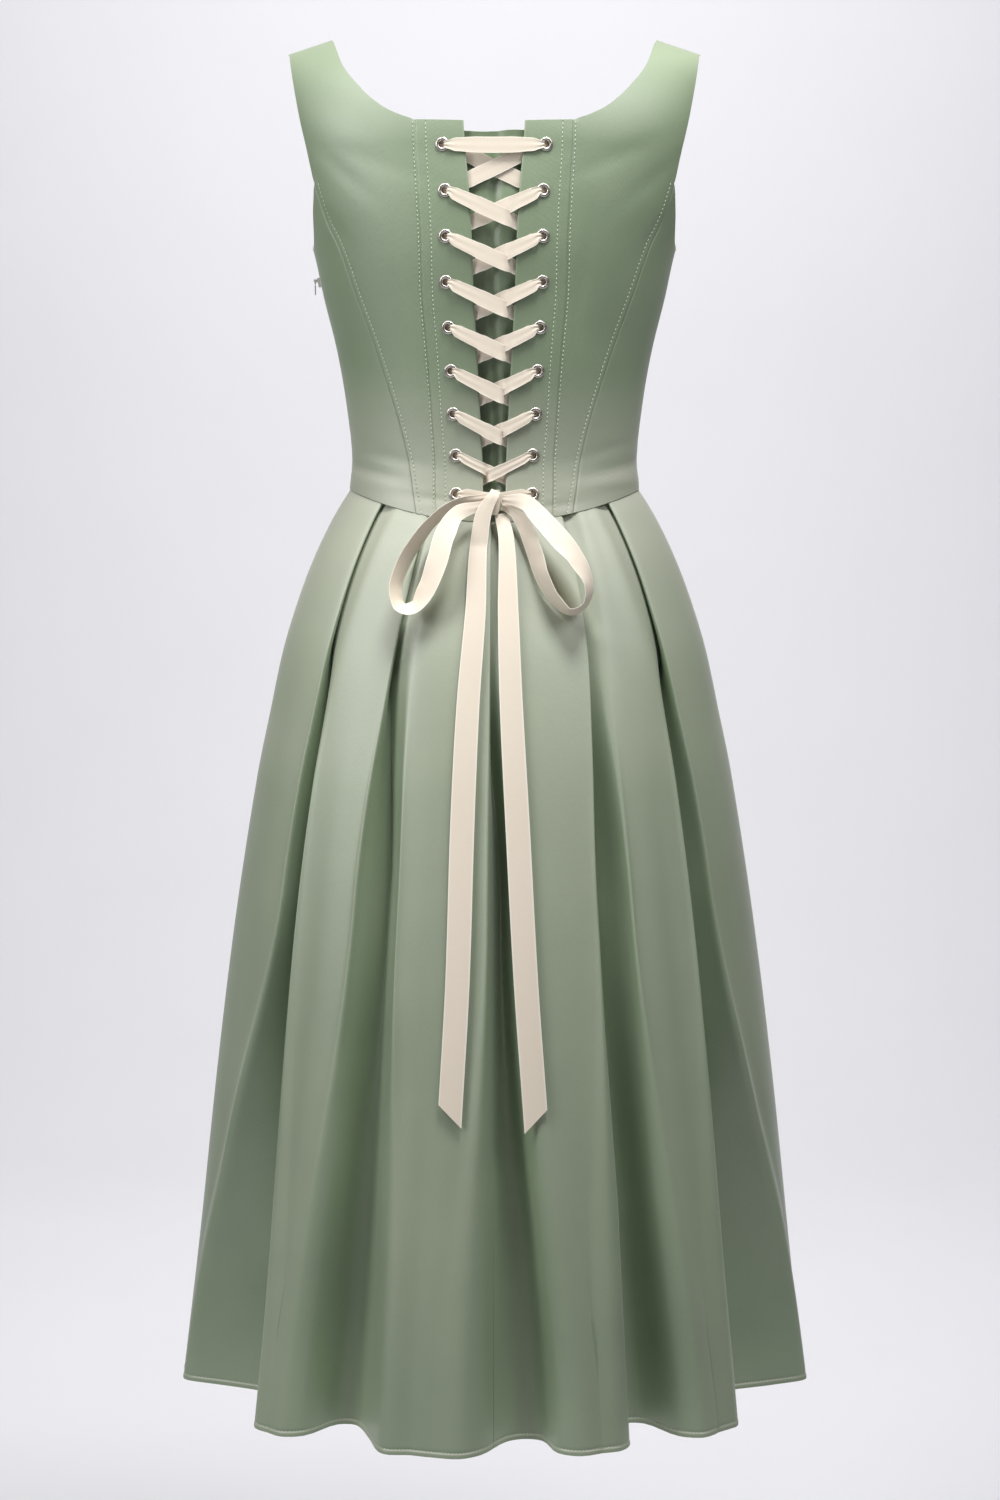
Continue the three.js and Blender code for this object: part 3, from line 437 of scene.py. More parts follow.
# Skirt form
def skirt_level(angle, share):
    return lerp(waist_rise(angle) - WAIST_GAP, HEM_LEVEL, share)


def skirt_depth(angle, level):
    return skirt_back(level) if math.cos(angle) > 0 else skirt_front(level)


def skirt_ellipse(angle, level):
    x = skirt_half(level) * math.sin(angle)
    return Vector((x, -skirt_depth(angle, level) * math.cos(angle), level))


def skirt_point(angle, share):
    top, level = skirt_level(angle, 0), skirt_level(angle, share)
    point = skirt_ellipse(angle, level)
    point += (bodice_point(angle, top) - skirt_ellipse(angle, top)) * (1 - share) ** 12
    point.z = level
    return point


def skirt_inward(angle, share):
    level = skirt_level(angle, share)
    flat = Vector((-math.sin(angle) / skirt_half(level), 0, 0))
    flat.y = math.cos(angle) / skirt_depth(angle, level)
    return flat.normalized()


def pleat_points(pleat, share):
    """Nine places of one pleat, as degrees and depth."""
    turn, step_turn = math.radians(pleat.waist), 1e-3
    reach = (skirt_point(turn + step_turn, share) - skirt_point(turn, share)).length
    degree = math.radians(1) * reach / step_turn
    step, lap, out = LAYER_STEP / degree, PLEAT_UNDERLAP / degree, EMERGE_LENGTH / degree
    closed = [
        (-step, 0),
        (0, LAYER_STEP),
        (-step, 2 * LAYER_STEP),
        (step - lap, 2 * LAYER_STEP),
        (-lap, 3 * LAYER_STEP),
        (step - lap, 4 * LAYER_STEP),
        (-step, 4.4 * LAYER_STEP),
        (0.5 * out, 2.6 * LAYER_STEP),
        (out, 0),
    ]
    waist = [(pleat.waist + turned, depth) for turned, depth in closed]
    if pleat.fold == "last":
        waist = [(2 * pleat.waist - turned, depth) for turned, depth in reversed(waist)]
    lower = smooth((share - OPEN_BY) / (1 - OPEN_BY))
    first = lerp(pleat.m1, pleat.h1, lower)
    valley = lerp(pleat.mv, pleat.hv, lower)
    last = lerp(pleat.m2, pleat.h2, lower)
    depth = lerp(pleat.m_in, pleat.h_in, lower)
    soft = lerp(RIDGE_MIDDLE, RIDGE_HEM, lower) / degree
    soft = min(soft, (valley - first) * SOFT_LIMIT, (last - valley) * SOFT_LIMIT)
    opened = [
        (first - 1.4 * soft, 0.03 * depth),
        (first, 0),
        (first + soft, 0.22 * depth),
        (valley - soft, 0.88 * depth),
        (valley, depth),
        (valley + soft, 0.88 * depth),
        (last - soft, 0.22 * depth),
        (last, 0),
        (last + 1.4 * soft, 0.03 * depth),
    ]
    blend = smooth(share / OPEN_BY)
    return [(lerp(a, c, blend), lerp(b, d, blend)) for (a, b), (c, d) in zip(waist, opened)]


# Degrees of plain cloth between control points, and steps on each stretch of cloth
PLAIN_SPAN = 13
PLAIN_DETAIL = 8
PLEAT_DETAIL = 4
PLEAT_STRETCHES = 8


def plain_steps(span):
    return max(2, math.ceil(span / PLAIN_SPAN))


def skirt_controls(pleats, start, end, share):
    """Control points of one ring of cloth between two angles."""
    ring = [(start, 0)]

    def bridge(target, span):
        origin = ring[-1]
        steps = plain_steps(span)
        for i in range(1, steps):
            t = i / steps
            ring.append((lerp(origin[0], target[0], t), lerp(origin[1], target[1], t)))

    reached = start
    for pleat in pleats:
        spots = pleat_points(pleat, share)
        bridge(spots[0], pleat.waist - reached)
        ring.extend(spots)
        reached = pleat.waist
    bridge((end, 0), end - reached)
    ring.append((end, 0))
    points = []
    for degrees, depth in ring:
        angle = math.radians(degrees)
        tucked = depth + SEAM_GAP + WAIST_TUCK * (1 - smooth(share / 0.012))
        points.append(skirt_point(angle, share) + skirt_inward(angle, share) * tucked)
    return points


def curve_through(points, steps):
    """Centripetal Catmull-Rom curve through points, with its own steps on each stretch."""
    ahead = [points[0] * 2 - points[1], *points, points[-1] * 2 - points[-2]]
    found = []
    for i in range(1, len(ahead) - 2):
        p0, p1, p2, p3 = ahead[i - 1 : i + 3]
        k1 = max((p1 - p0).length, 1e-6) ** 0.5
        k2 = k1 + max((p2 - p1).length, 1e-6) ** 0.5
        k3 = k2 + max((p3 - p2).length, 1e-6) ** 0.5
        count = steps[i - 1]
        for s in range(count):
            t = lerp(k1, k2, s / count)
            a1 = p0.lerp(p1, t / k1)
            a2 = p1.lerp(p2, (t - k1) / (k2 - k1))
            a3 = p2.lerp(p3, (t - k2) / (k3 - k2))
            b1 = a1.lerp(a2, t / k2)
            b2 = a2.lerp(a3, (t - k1) / (k3 - k1))
            found.append(b1.lerp(b2, (t - k1) / (k2 - k1)))
    found.append(points[-1].copy())
    return found


# Stations of the skirt's length: even folds, then the turned hem
HEM_STITCH = 4.4
HEM_MARKS = (11, 8, 6.2, 5.2, 4.4, 3.6, 2.4, 1.2, 0.5, 0)


def skirt_shares(count):
    length = WAIST_SIDE - HEM_LEVEL
    last = 1 - HEM_MARKS[0] / length
    upper = [last * (i / count) ** 1.25 for i in range(count)]
    return upper + [1 - mark / length for mark in HEM_MARKS]


def skirt_grid(pleats, start, end, rows):
    """Rows of points down one part of the skirt, with folds and hem, all of equal length."""
    shares = skirt_shares(rows)
    steps = []
    reached = start
    for pleat in pleats:
        steps += [PLAIN_DETAIL] * plain_steps(pleat.waist - reached)
        steps += [PLEAT_DETAIL] * PLEAT_STRETCHES
        reached = pleat.waist
    steps += [PLAIN_DETAIL] * plain_steps(end - reached)
    grid = []
    for share in shares:
        ring = curve_through(skirt_controls(pleats, start, end, share), steps)
        grid.append(fold_ring(ring, share))
    return grid


def form_degrees(point):
    level = point.z
    depth = skirt_back(level) if point.y < 0 else skirt_front(level)
    degrees = math.degrees(math.atan2(point.x / skirt_half(level), -point.y / depth))
    return degrees if degrees > -91 else degrees + 360


def fold_ring(ring, share):
    """Adds the loose folds and the hem's turning to a ring."""
    above_hem = (1 - share) * (WAIST_SIDE - HEM_LEVEL)
    hem_lift = 0.3 * smooth((HEM_STITCH - above_hem) / 0.8) - 0.5 * bump(above_hem - HEM_STITCH, 0.7)
    made = []
    for i, point in enumerate(ring):
        degrees = form_degrees(point)
        angle = math.radians(degrees)
        reach = math.radians(skirt_half(point.z))
        depth = 0.0
        for fold in SKIRT_FOLDS:
            middle = lerp(fold.top, fold.hem, share)
            strength = smooth((share - fold.start) / (fold.full - fold.start))
            depth += fold.deep * strength * bump((degrees - middle) * reach, fold.wide)
        before, after = ring[max(i - 1, 0)], ring[min(i + 1, len(ring) - 1)]
        along = (after - before).normalized()
        face = Vector((along.y, -along.x, 0))
        made.append(point + skirt_inward(angle, share) * depth + face * hem_lift)
    return made


# Materials. Cloth carries how far it faces up, as an attribute from 0 to 1 that masks the satin's painted
# sheen
SHEEN_ATTRIBUTE = "facing_up"


def linear(code):
    """Linear colour of an sRGB hex code."""
    channels = [int(code[i : i + 2], 16) / 255 for i in (1, 3, 5)]
    made = [c / 12.92 if c <= 0.04045 else ((c + 0.055) / 1.055) ** 2.4 for c in channels]
    return (*made, 1.0)


def add_node(tree, kind, settings=None, links=None):
    """Adds a node, sets its values or sockets and links its inputs."""
    node = tree.nodes.new(kind)
    for name, value in (settings or {}).items():
        if isinstance(name, int) or name in node.inputs:
            node.inputs[name].default_value = value
        else:
            setattr(node, name, value)
    for name, source in (links or {}).items():
        tree.links.new(source, node.inputs[name])
    return node


def new_material(name, values):
    """A material whose shader has constant values on its own sockets."""
    material = bpy.data.materials.new(name)
    material.use_nodes = True
    tree = material.node_tree
    shader = tree.nodes["Principled BSDF"]
    for socket, value in values.items():
        shader.inputs[socket].default_value = value
    return material, tree, shader


def mix_colours(tree, factor, first, second):
    mixed = add_node(tree, "ShaderNodeMix", {"data_type": "RGBA"}, {0: factor})
    mixed.inputs[6].default_value = linear(first)
    mixed.inputs[7].default_value = linear(second)
    return mixed.outputs[2]


def paint(tree, shader, factor, first, second):
    tree.links.new(mix_colours(tree, factor, first, second), shader.inputs["Base Color"])


def emboss(tree, shader, height, strength, distance):
    values = {"Strength": strength, "Distance": distance}
    fine = add_node(tree, "ShaderNodeBump", values, {"Height": height})
    tree.links.new(fine.outputs[0], shader.inputs["Normal"])


def noise(tree, vector, settings):
    return add_node(tree, "ShaderNodeTexNoise", settings, {"Vector": vector}).outputs[0]


def bands(tree, vector, direction, settings):
    values = {"wave_type": "BANDS", "bands_direction": direction} | settings
    return add_node(tree, "ShaderNodeTexWave", values, {"Vector": vector}).outputs[1]


def calculate(tree, operation, settings, links):
    values = {"operation": operation} | settings
    return add_node(tree, "ShaderNodeMath", values, links).outputs[0]


def object_space(tree):
    return add_node(tree, "ShaderNodeTexCoord").outputs["Object"]


def cloth_space(tree):
    return add_node(tree, "ShaderNodeUVMap", {"uv_map": "cloth"}).outputs[0]


def satin_material(name, light, dark, pale):
    """Duchess satin, woven and calendered: smooth floats with a fine diagonal twill grain, drawn
    wider than real so that it shows. Its colour is painted paler where the cloth faces up, a
    painted sheen in place of the lamps' highlight."""
    values = {"Roughness": 0.5, "Specular IOR Level": 1.0, "Sheen Weight": 0.12}
    values |= {"Sheen Roughness": 0.35, "IOR": 1.6, "Coat Weight": 0.2, "Coat Roughness": 0.45}
    material, tree, shader = new_material(name, values)
    space = object_space(tree)
    cloud = noise(tree, space, {"Scale": 9.0, "Detail": 3.0})
    grain = noise(tree, space, {"Scale": 950.0, "Detail": 2.0})
    slub = noise(tree, space, {"Scale": 220.0, "Detail": 3.0})
    shade = calculate(tree, "MULTIPLY_ADD", {1: 0.45, 2: 0.0}, {0: grain})
    shade = calculate(tree, "ADD", {}, {0: shade, 1: cloud})
    spread = add_node(tree, "ShaderNodeMapRange", {"From Min": 0.4, "From Max": 1.05}, {0: shade})
    body = mix_colours(tree, spread.outputs[0], dark, light)
    # Painted sheen: the base colour turns towards the pale colour where the cloth faces up, a painted
    # highlight
    facing = add_node(tree, "ShaderNodeAttribute", {"attribute_name": SHEEN_ATTRIBUTE}).outputs["Fac"]
    sheen_share = add_node(tree, "ShaderNodeMapRange", {"From Min": -0.02, "From Max": 0.7}, {0: facing})
    lit = add_node(tree, "ShaderNodeMix", {"data_type": "RGBA"}, {0: sheen_share.outputs[0], 6: body})
    lit.inputs[7].default_value = linear(pale)
    tree.links.new(lit.outputs[2], shader.inputs["Base Color"])
    twill = bands(tree, cloth_space(tree), "DIAGONAL", {"Scale": 160.0, "Distortion": 1.2})
    relief = calculate(tree, "MULTIPLY_ADD", {1: 0.35}, {0: twill, 2: grain})
    values = {"Strength": 0.12, "Distance": 0.0004}
    fine = add_node(tree, "ShaderNodeBump", values, {"Height": relief})
    values = {"Strength": 0.1, "Distance": 0.001}
    coarse = add_node(tree, "ShaderNodeBump", values, {"Height": slub, "Normal": fine.outputs[0]})
    tree.links.new(coarse.outputs[0], shader.inputs["Normal"])
    return material


def ribbon_material():
    """Double-faced polyester satin ribbon, woven: fine weft ribs and firm woven edges."""
    values = {"Roughness": 0.5, "Specular IOR Level": 0.2, "Sheen Weight": 0.05, "Sheen Roughness": 0.4}
    material, tree, shader = new_material("ribbon_woven_satin", values)
    uv = cloth_space(tree)
    parts = add_node(tree, "ShaderNodeSeparateXYZ", links={0: uv})
    off_middle = calculate(tree, "SUBTRACT", {1: RIBBON_WIDTH * MM / 2}, {0: parts.outputs[0]})
    aside = calculate(tree, "ABSOLUTE", {}, {0: off_middle})
    edge = add_node(tree, "ShaderNodeMapRange", {"From Min": 0.0085, "From Max": 0.0095}, {0: aside})
    paint(tree, shader, edge.outputs[0], "#E9DDCC", "#F6EFE2")
    rib = bands(tree, uv, "Y", {"Scale": 170.0, "Distortion": 0.6})
    grain = noise(tree, uv, {"Scale": 700.0})
    relief = calculate(tree, "MULTIPLY_ADD", {1: 0.5}, {0: rib, 2: grain})
    emboss(tree, shader, relief, 0.12, 0.0003)
    return material


def metal_material(name, values, grain, colours, strength):
    """Plated metal with light handling marks."""
    material, tree, shader = new_material(name, values)
    marks = noise(tree, object_space(tree), grain)
    paint(tree, shader, marks, *colours)
    emboss(tree, shader, marks, strength, 0.0001)
    return material


def nickel_material():
    """Nickel-plated brass, stamped and polished: bright and faintly warm."""
    values = {"Metallic": 1.0, "Roughness": 0.36}
    grain = {"Scale": 1400.0, "Detail": 3.0}
    return metal_material("nickel_plated_brass", values, grain, ("#C9C1BA", "#E6E0DA"), 0.08)


def zip_material():
    """Zinc alloy, die-cast and plated: pale and tumbled to a soft finish."""
    values = {"Metallic": 0.45, "Roughness": 0.5}
    grain = {"Scale": 900.0, "Detail": 2.0}
    return metal_material("zinc_die_cast_plated", values, grain, ("#C9C8C3", "#DCDBD7"), 0.06)


def tape_material():
    """Zip tape, woven polyester: a matt diagonal weave, drawn wider than real so that it shows."""
    material, tree, shader = new_material("zip_tape_woven_polyester", {"Roughness": 0.75})
    rib = bands(tree, object_space(tree), "DIAGONAL", {"Scale": 160.0})
    paint(tree, shader, rib, "#6F8369", "#8B9E84")
    return material


def thread_material():
    """Polyester topstitching thread, spun and glossy, paler than the satin."""
    material, tree, shader = new_material("thread_spun_polyester", {"Roughness": 0.5})
    twist = noise(tree, object_space(tree), {"Scale": 1500.0})
    paint(tree, shader, twist, "#B9C7AE", "#D2DCC8")
    return material


def paper_material():
    """Seamless studio paper, matt and pale grey, with a faint fibre."""
    material, tree, shader = new_material("studio_paper", {"Roughness": 0.9})
    fibre = noise(tree, object_space(tree), {"Scale": 3.0})
    paint(tree, shader, fibre, "#E4E3E7", "#E8E7EB")
    return material


# Mesh helpers
def mesh_object(name, mesh, material):
    """Turns a bmesh in metres into a smooth object of one material."""
    data = bpy.data.meshes.new(name)
    mesh.to_mesh(data)
    mesh.free()
    data.polygons.foreach_set("use_smooth", [True] * len(data.polygons))
    data.materials.append(material)
    made = bpy.data.objects.new(name, data)
    bpy.context.scene.collection.objects.link(made)
    return made


def finish_mesh(name, mesh, material, nodes=()):
    """Turns a bmesh in metres into a piece of the dress."""
    piece = mesh_object(name, mesh, material)
    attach(piece, "dress")
    if nodes:
        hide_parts(*nodes)
    return piece


# How far cloth counts as facing up, which sets how much painted sheen it gets: a smaller share
# at the shoulders, and more at the foot of the bodice. Heights are in metres
SHOULDER_SHARE = 0.15
SHOULDER_FOOT = -0.03
SHOULDER_FADE = 0.09
BODICE_FOOT_SHEEN = 0.3
FOOT_SHEEN_TOP = -0.26
FOOT_SHEEN_FADE = 0.08


def mark_sheen_mask(mesh, foot_sheen=0.0):
    """Notes on a sheet whose faces look outward how far each point faces up, the mask of the satin's painted
    sheen.
    """
    layer = mesh.verts.layers.float.new(SHEEN_ATTRIBUTE)
    mesh.normal_update()
    for vert in mesh.verts:
        below_shoulder = lerp(SHOULDER_SHARE, 1, smooth((SHOULDER_FOOT - vert.co.z) / SHOULDER_FADE))
        at_foot = foot_sheen * smooth((FOOT_SHEEN_TOP - vert.co.z) / FOOT_SHEEN_FADE)
        vert[layer] = clamp(clamp(vert.normal.z) * below_shoulder + at_foot)


def shell(piece, thickness, offset=-1.0, bevel=0.3):
    """Gives a sheet its real thickness and rounds its cut edges."""
    wall = piece.modifiers.new("thickness", "SOLIDIFY")
    wall.thickness = thickness * MM
    wall.offset = offset
    rim = piece.modifiers.new("edge", "BEVEL")
    rim.width = bevel * MM
    rim.segments = 2
    rim.limit_method = "ANGLE"
    rim.angle_limit = math.radians(55)
    rim.harden_normals = True


def crowded(t, ends=0.8):
    """Place across a panel, with its columns closer together at both edges."""
    return t - ends * math.sin(2 * math.pi * t) / (2 * math.pi)


def cloth_mesh(columns, rows, place, size):
    """Grid of cloth: place gives a point in millimetres, size the flat width and length."""
    mesh = bmesh.new()
    uv = mesh.loops.layers.uv.new("cloth")
    bmesh.ops.create_grid(mesh, x_segments=columns, y_segments=rows, size=0.5, calc_uvs=False)
    for face in mesh.faces:
        for loop in face.loops:
            flat = loop.vert.co
            loop[uv].uv = ((flat.x + 0.5) * size[0] * MM, (flat.y + 0.5) * size[1] * MM)
    for vert in mesh.verts:
        vert.co = place(vert.co.x + 0.5, vert.co.y + 0.5) * MM
    return mesh


def face_outward(mesh):
    """Turns a sheet's faces over if they look towards the dress's upright axis."""
    mesh.normal_update()
    score = sum(face.normal.dot(face.calc_center_median().xy.to_3d()) for face in mesh.faces)
    if score < 0:
        bmesh.ops.reverse_faces(mesh, faces=mesh.faces[:])


def crease_relief(x, rise, back):
    if not back:
        return 0.0
    total = 0.0
    for crease in BODICE_CREASES:
        turn = math.radians(crease.turn)
        dx, dz = x - crease.x, rise - crease.rise
        along = dx * math.cos(turn) + dz * math.sin(turn)
        across = dz * math.cos(turn) - dx * math.sin(turn)
        total -= crease.deep * bump(along, crease.long) * bump(across, crease.wide)
    return total


# Bodice panels. At each side of a panel: a pressed seam, and where a bone is stitched in, a
# raised channel up to its topstitching
SEAM_DIP = 0.5
SEAM_SOFT = 0.8
CHANNEL_RISE = 0.16
STITCH_DIP = 0.16
STITCH_SOFT = 0.8
CHANNEL_WIDTH = 9.3
TOPSTITCH_WIDTH = 6.3
EDGE_STITCH = 1.4
WIDTH_SAMPLES = 40
STITCH_SAMPLES = 90
CLOTH_WALL = 0.9
SKIRT_WALL = 0.8


def side_relief(distance, stitched):
    relief = -SEAM_DIP * bump(distance, SEAM_SOFT)
    if stitched:
        relief += CHANNEL_RISE * smooth(distance / 2) * smooth((stitched - distance) / 1.2)
        relief -= STITCH_DIP * bump(distance - stitched, STITCH_SOFT)
    return relief


def panel_relief(place, first, last, seam_top, back=True):
    """Relief of a panel as a function of the places across and up."""
    widths = []
    for i in range(WIDTH_SAMPLES + 1):
        v = i / WIDTH_SAMPLES
        widths.append((place(1, v) - place(0, v)).length)

    def relief(u, v):
        width = widths[round(v * WIDTH_SAMPLES)]
        fade = smooth((seam_top - v) / 0.03 + 1)
        spot = place(u, v)
        lift = crease_relief(spot.x, spot.z, back)
        lift += side_relief(u * width, first) * (fade if first is not None else 0)
        lift += side_relief((1 - u) * width, last) * (fade if last is not None else 0)
        return lift

    return relief


PanelCut = namedtuple("PanelCut", "width length area")
CUTS = {
    "back": PanelCut(109, 482, 0.0258),
    "side_back": PanelCut(99, 289, 0.0176),
    "front": PanelCut(150, 466, 0.0390),
    "front_centre": PanelCut(175, 287, 0.0401),
    "back_lacing": PanelCut(45, 331, 0.0137),
    "modesty": PanelCut(98, 312, 0.0271),
    "skirt_back": PanelCut(594, 768, 0.348),
    "skirt_front": PanelCut(1018, 773, 0.631),
}


def cloth_piece(name, node, mesh, cut, used, wall=CLOTH_WALL, bevel=0.3):
    """A sheet of satin with its real wall. The cut that it was made from is not used."""
    piece = finish_mesh(name, mesh, used["satin"], [node])
    shell(piece, wall, bevel=bevel)
    return piece


def build_panel(name, place, used, relief, columns, rows, cut):
    def lifted(t, v):
        u = crowded(t)
        return place(u, v, relief(u, v))

    mesh = cloth_mesh(columns, rows, lifted, cut[:2])
    face_outward(mesh)
    mark_sheen_mask(mesh, BODICE_FOOT_SHEEN)
    return cloth_piece(name + "_cloth", name, mesh, cut, used)


def stitch_row(name, places, used, pitch=3.6, length=2.3, width=0.85, height=0.5):
    """Topstitching: one small rounded stitch after another along (point, outward) places."""
    mesh = bmesh.new()
    carried = pitch / 2
    for (start, up), (end, _) in zip(places, places[1:]):
        span = (end - start).length
        along = (end - start).normalized()
        across = up.cross(along).normalized()
        lift = along.cross(across)
        while carried < span:
            spot = start + along * carried + lift * 0.18
            turn = Matrix((along, across, lift)).transposed().to_4x4()
            scale = Matrix.Diagonal((length / 2 * MM, width / 2 * MM, height / 2 * MM, 1))
            matrix = Matrix.Translation(spot * MM) @ turn @ scale
            bmesh.ops.create_icosphere(mesh, subdivisions=1, radius=1, matrix=matrix)
            carried += pitch
        carried -= span
    finish_mesh(name, mesh, used["thread"])


def panel_stitches(name, place, relief, distance, from_first, used, top, mirror):
    """A stitch row up a panel at a distance from one of its sides."""
    places = []
    for i in range(STITCH_SAMPLES + 1):
        v = top * i / STITCH_SAMPLES
        width = (place(1, v) - place(0, v)).length
        u = distance / width if from_first else 1 - distance / width
        base, over = place(u, v, relief(u, v)), place(u, v, relief(u, v) + 1)
        if mirror:
            base.x, over.x = -base.x, -over.x
        places.append((base, (over - base).normalized()))
    stitch_row(name, places, used)


def materials():
    """The dress's materials, made once."""
    found = bpy.data.materials.get("satin_duchess_sage")
    if found is None:
        cloth = bpy.context.scene.dress_cloth
        satin_material("satin_duchess_sage", cloth.light, cloth.dark, cloth.pale)
        ribbon_material()
        nickel_material()
        zip_material()
        tape_material()
        thread_material()
        paper_material()
    names = {
        "satin": "satin_duchess_sage",
        "ribbon": "ribbon_woven_satin",
        "nickel": "nickel_plated_brass",
        "zip_metal": "zinc_die_cast_plated",
        "tape": "zip_tape_woven_polyester",
        "thread": "thread_spun_polyester",
        "paper": "studio_paper",
    }
    return {key: bpy.data.materials[name] for key, name in names.items()}


class DressCloth(bpy.types.PropertyGroup):
    """Colours of the dress"""

    light: bpy.props.StringProperty(name="Light green", description="Lit satin", default="#8DA07F")
    dark: bpy.props.StringProperty(name="Deep green", description="Shaded satin", default="#788C6D")
    # Pale is the colour of the satin's painted sheen, a painted highlight where the cloth faces up
    pale: bpy.props.StringProperty(name="Sheen", description="Satin facing up", default="#C1C0B1")


class DressLight(bpy.types.PropertyGroup):
    """Studio light"""

    key: bpy.props.FloatProperty(name="Key", description="From high on the left", default=24, unit="POWER")
    top: bpy.props.FloatProperty(name="Top", description="From right above", default=28, unit="POWER")
    left: bpy.props.FloatProperty(name="Left", description="From the left", default=13, unit="POWER")
    right: bpy.props.FloatProperty(name="Right", description="From the right", default=17, unit="POWER")
    paper: bpy.props.FloatProperty(name="Paper", description="Light on the paper", default=80, unit="POWER")
    fill: bpy.props.FloatProperty(name="Fill", description="World brightness", default=0.02, min=0)


class DRESS_OT_bodice(bpy.types.Operator):
    """Builds the bodice's outer panels with their seams and bone channels"""

    bl_idname = "dress.bodice"
    bl_label = "Bodice panels"

    def execute(self, context):
        used = materials()
        plans = (
            ("back", back_place, EDGE_STITCH, TOPSTITCH_WIDTH, SEAM_TOP, 64, 130, True),
            ("side_back", side_back_place, 0.0, 0.0, 1.0, 60, 70, True),
            ("front", front_place, 0.0, 0.0, SEAM_TOP, 80, 120, False),
        )
        for name, place, first, last, top, columns, rows, back in plans:
            for side, sign in SIDES:
                on_side = place if sign > 0 else mirrored(place)
                relief = panel_relief(on_side, first, last, top, back)
                build_panel(f"{name}_{side}", on_side, used, relief, columns, rows, CUTS[name])
        relief = panel_relief(front_centre_place, TOPSTITCH_WIDTH, TOPSTITCH_WIDTH, 1.0, False)
        build_panel("front_centre", front_centre_place, used, relief, 80, 90, CUTS["front_centre"])
        return {"FINISHED"}


# Millimetres from an eyelet's centre within which the cloth is opened
HOLE_REACH = 4.4


class DRESS_OT_lacing_panels(bpy.types.Operator):
    """Builds the two lacing panels, with a hole for each eyelet"""

    bl_idname = "dress.lacing_panels"
    bl_label = "Lacing panels"

    def execute(self, context):
        used = materials()
        for side, sign in SIDES:
            place = lacing_place if sign > 0 else mirrored(lacing_place)
            relief = panel_relief(place, 0.0, CHANNEL_WIDTH, 1.0)
            cut = CUTS["back_lacing"]
            piece = build_panel(f"back_lacing_{side}", place, used, relief, 56, 260, cut)
            self.cut_holes(piece, sign)
        return {"FINISHED"}

    def cut_holes(self, piece, sign):
        """Opens the cloth under each eyelet's rim."""
        mesh = bmesh.new()
        mesh.from_mesh(piece.data)
        spots = [eyelet_place(row, sign)[0] * MM for row in EYELET_ROWS]
        reach = HOLE_REACH * MM
        under = [
            face
            for face in mesh.faces
            if any((face.calc_center_median() - spot).length < reach for spot in spots)
        ]
        bmesh.ops.delete(mesh, geom=under, context="FACES")
        mesh.to_mesh(piece.data)
        mesh.free()


def eyelet_place(row, sign):
    """Centre of an eyelet on the cloth, and its outward direction."""
    angle = angle_at(row.x * sign, row.rise)
    place = on_bodice(angle, row.rise, 0) + Vector((0, -SEAM_GAP / 2, 0))
    return place, outward(angle, row.rise)


Rim = namedtuple("Rim", "radius lift")
EYELET_PROFILE = (
    Rim(2.9, -1.9),
    Rim(2.9, 0.3),
    Rim(3.0, 0.75),
    Rim(3.3, 1.12),
    Rim(3.8, 1.35),
    Rim(4.4, 1.42),
    Rim(5.0, 1.28),
    Rim(5.5, 0.95),
    Rim(5.75, 0.5),
    Rim(5.6, 0.15),
    Rim(3.5, 0.1),
    Rim(3.4, -1.5),
    Rim(5.0, -1.55),
    Rim(5.1, -1.8),
    Rim(4.6, -2.1),
    Rim(3.3, -2.15),
)
EYELET_STEPS = 32


class DRESS_OT_eyelets(bpy.types.Operator):
    """Builds the rolled metal eyelets of the lacing"""

    bl_idname = "dress.eyelets"
    bl_label = "Eyelets"

    def execute(self, context):
        used = materials()
        for side, sign in SIDES:
            mesh = bmesh.new()
            for row in EYELET_ROWS:
                self.add_eyelet(mesh, row, sign)
            bmesh.ops.remove_doubles(mesh, verts=mesh.verts[:], dist=1e-6)
            bmesh.ops.recalc_face_normals(mesh, faces=mesh.faces[:])
            nodes = [f"eyelet_{side}_{i + 1}" for i in range(len(EYELET_ROWS))]
            finish_mesh(f"eyelets_{side}", mesh, used["nickel"], nodes)
        return {"FINISHED"}

    def add_eyelet(self, mesh, row, sign):
        place, direction = eyelet_place(row, sign)
        turn = direction.to_track_quat("Z", "Y").to_matrix().to_4x4()
        matrix = Matrix.Translation(place * MM) @ turn
        loop = [mesh.verts.new(matrix @ Vector((p.radius * MM, 0, p.lift * MM))) for p in EYELET_PROFILE]
        edges = [mesh.edges.new((a, b)) for a, b in zip(loop, loop[1:] + loop[:1])]
        bmesh.ops.spin(
            mesh, geom=loop + edges, cent=matrix.translation, axis=direction,
            dvec=(0, 0, 0), angle=2 * math.pi, steps=EYELET_STEPS, use_merge=True,
        )


# Modesty panel: its foot and top, the share of its width that is sewn on, and the sewn edge,
# the seam and the loose part's width from the centre
MODESTY_FOOT = -388
MODESTY_TOP = -80
SEWN_SHARE = 0.25
SEWN_EDGE = -57
SEWN_SEAM = -46
LOOSE_WIDTH = 84


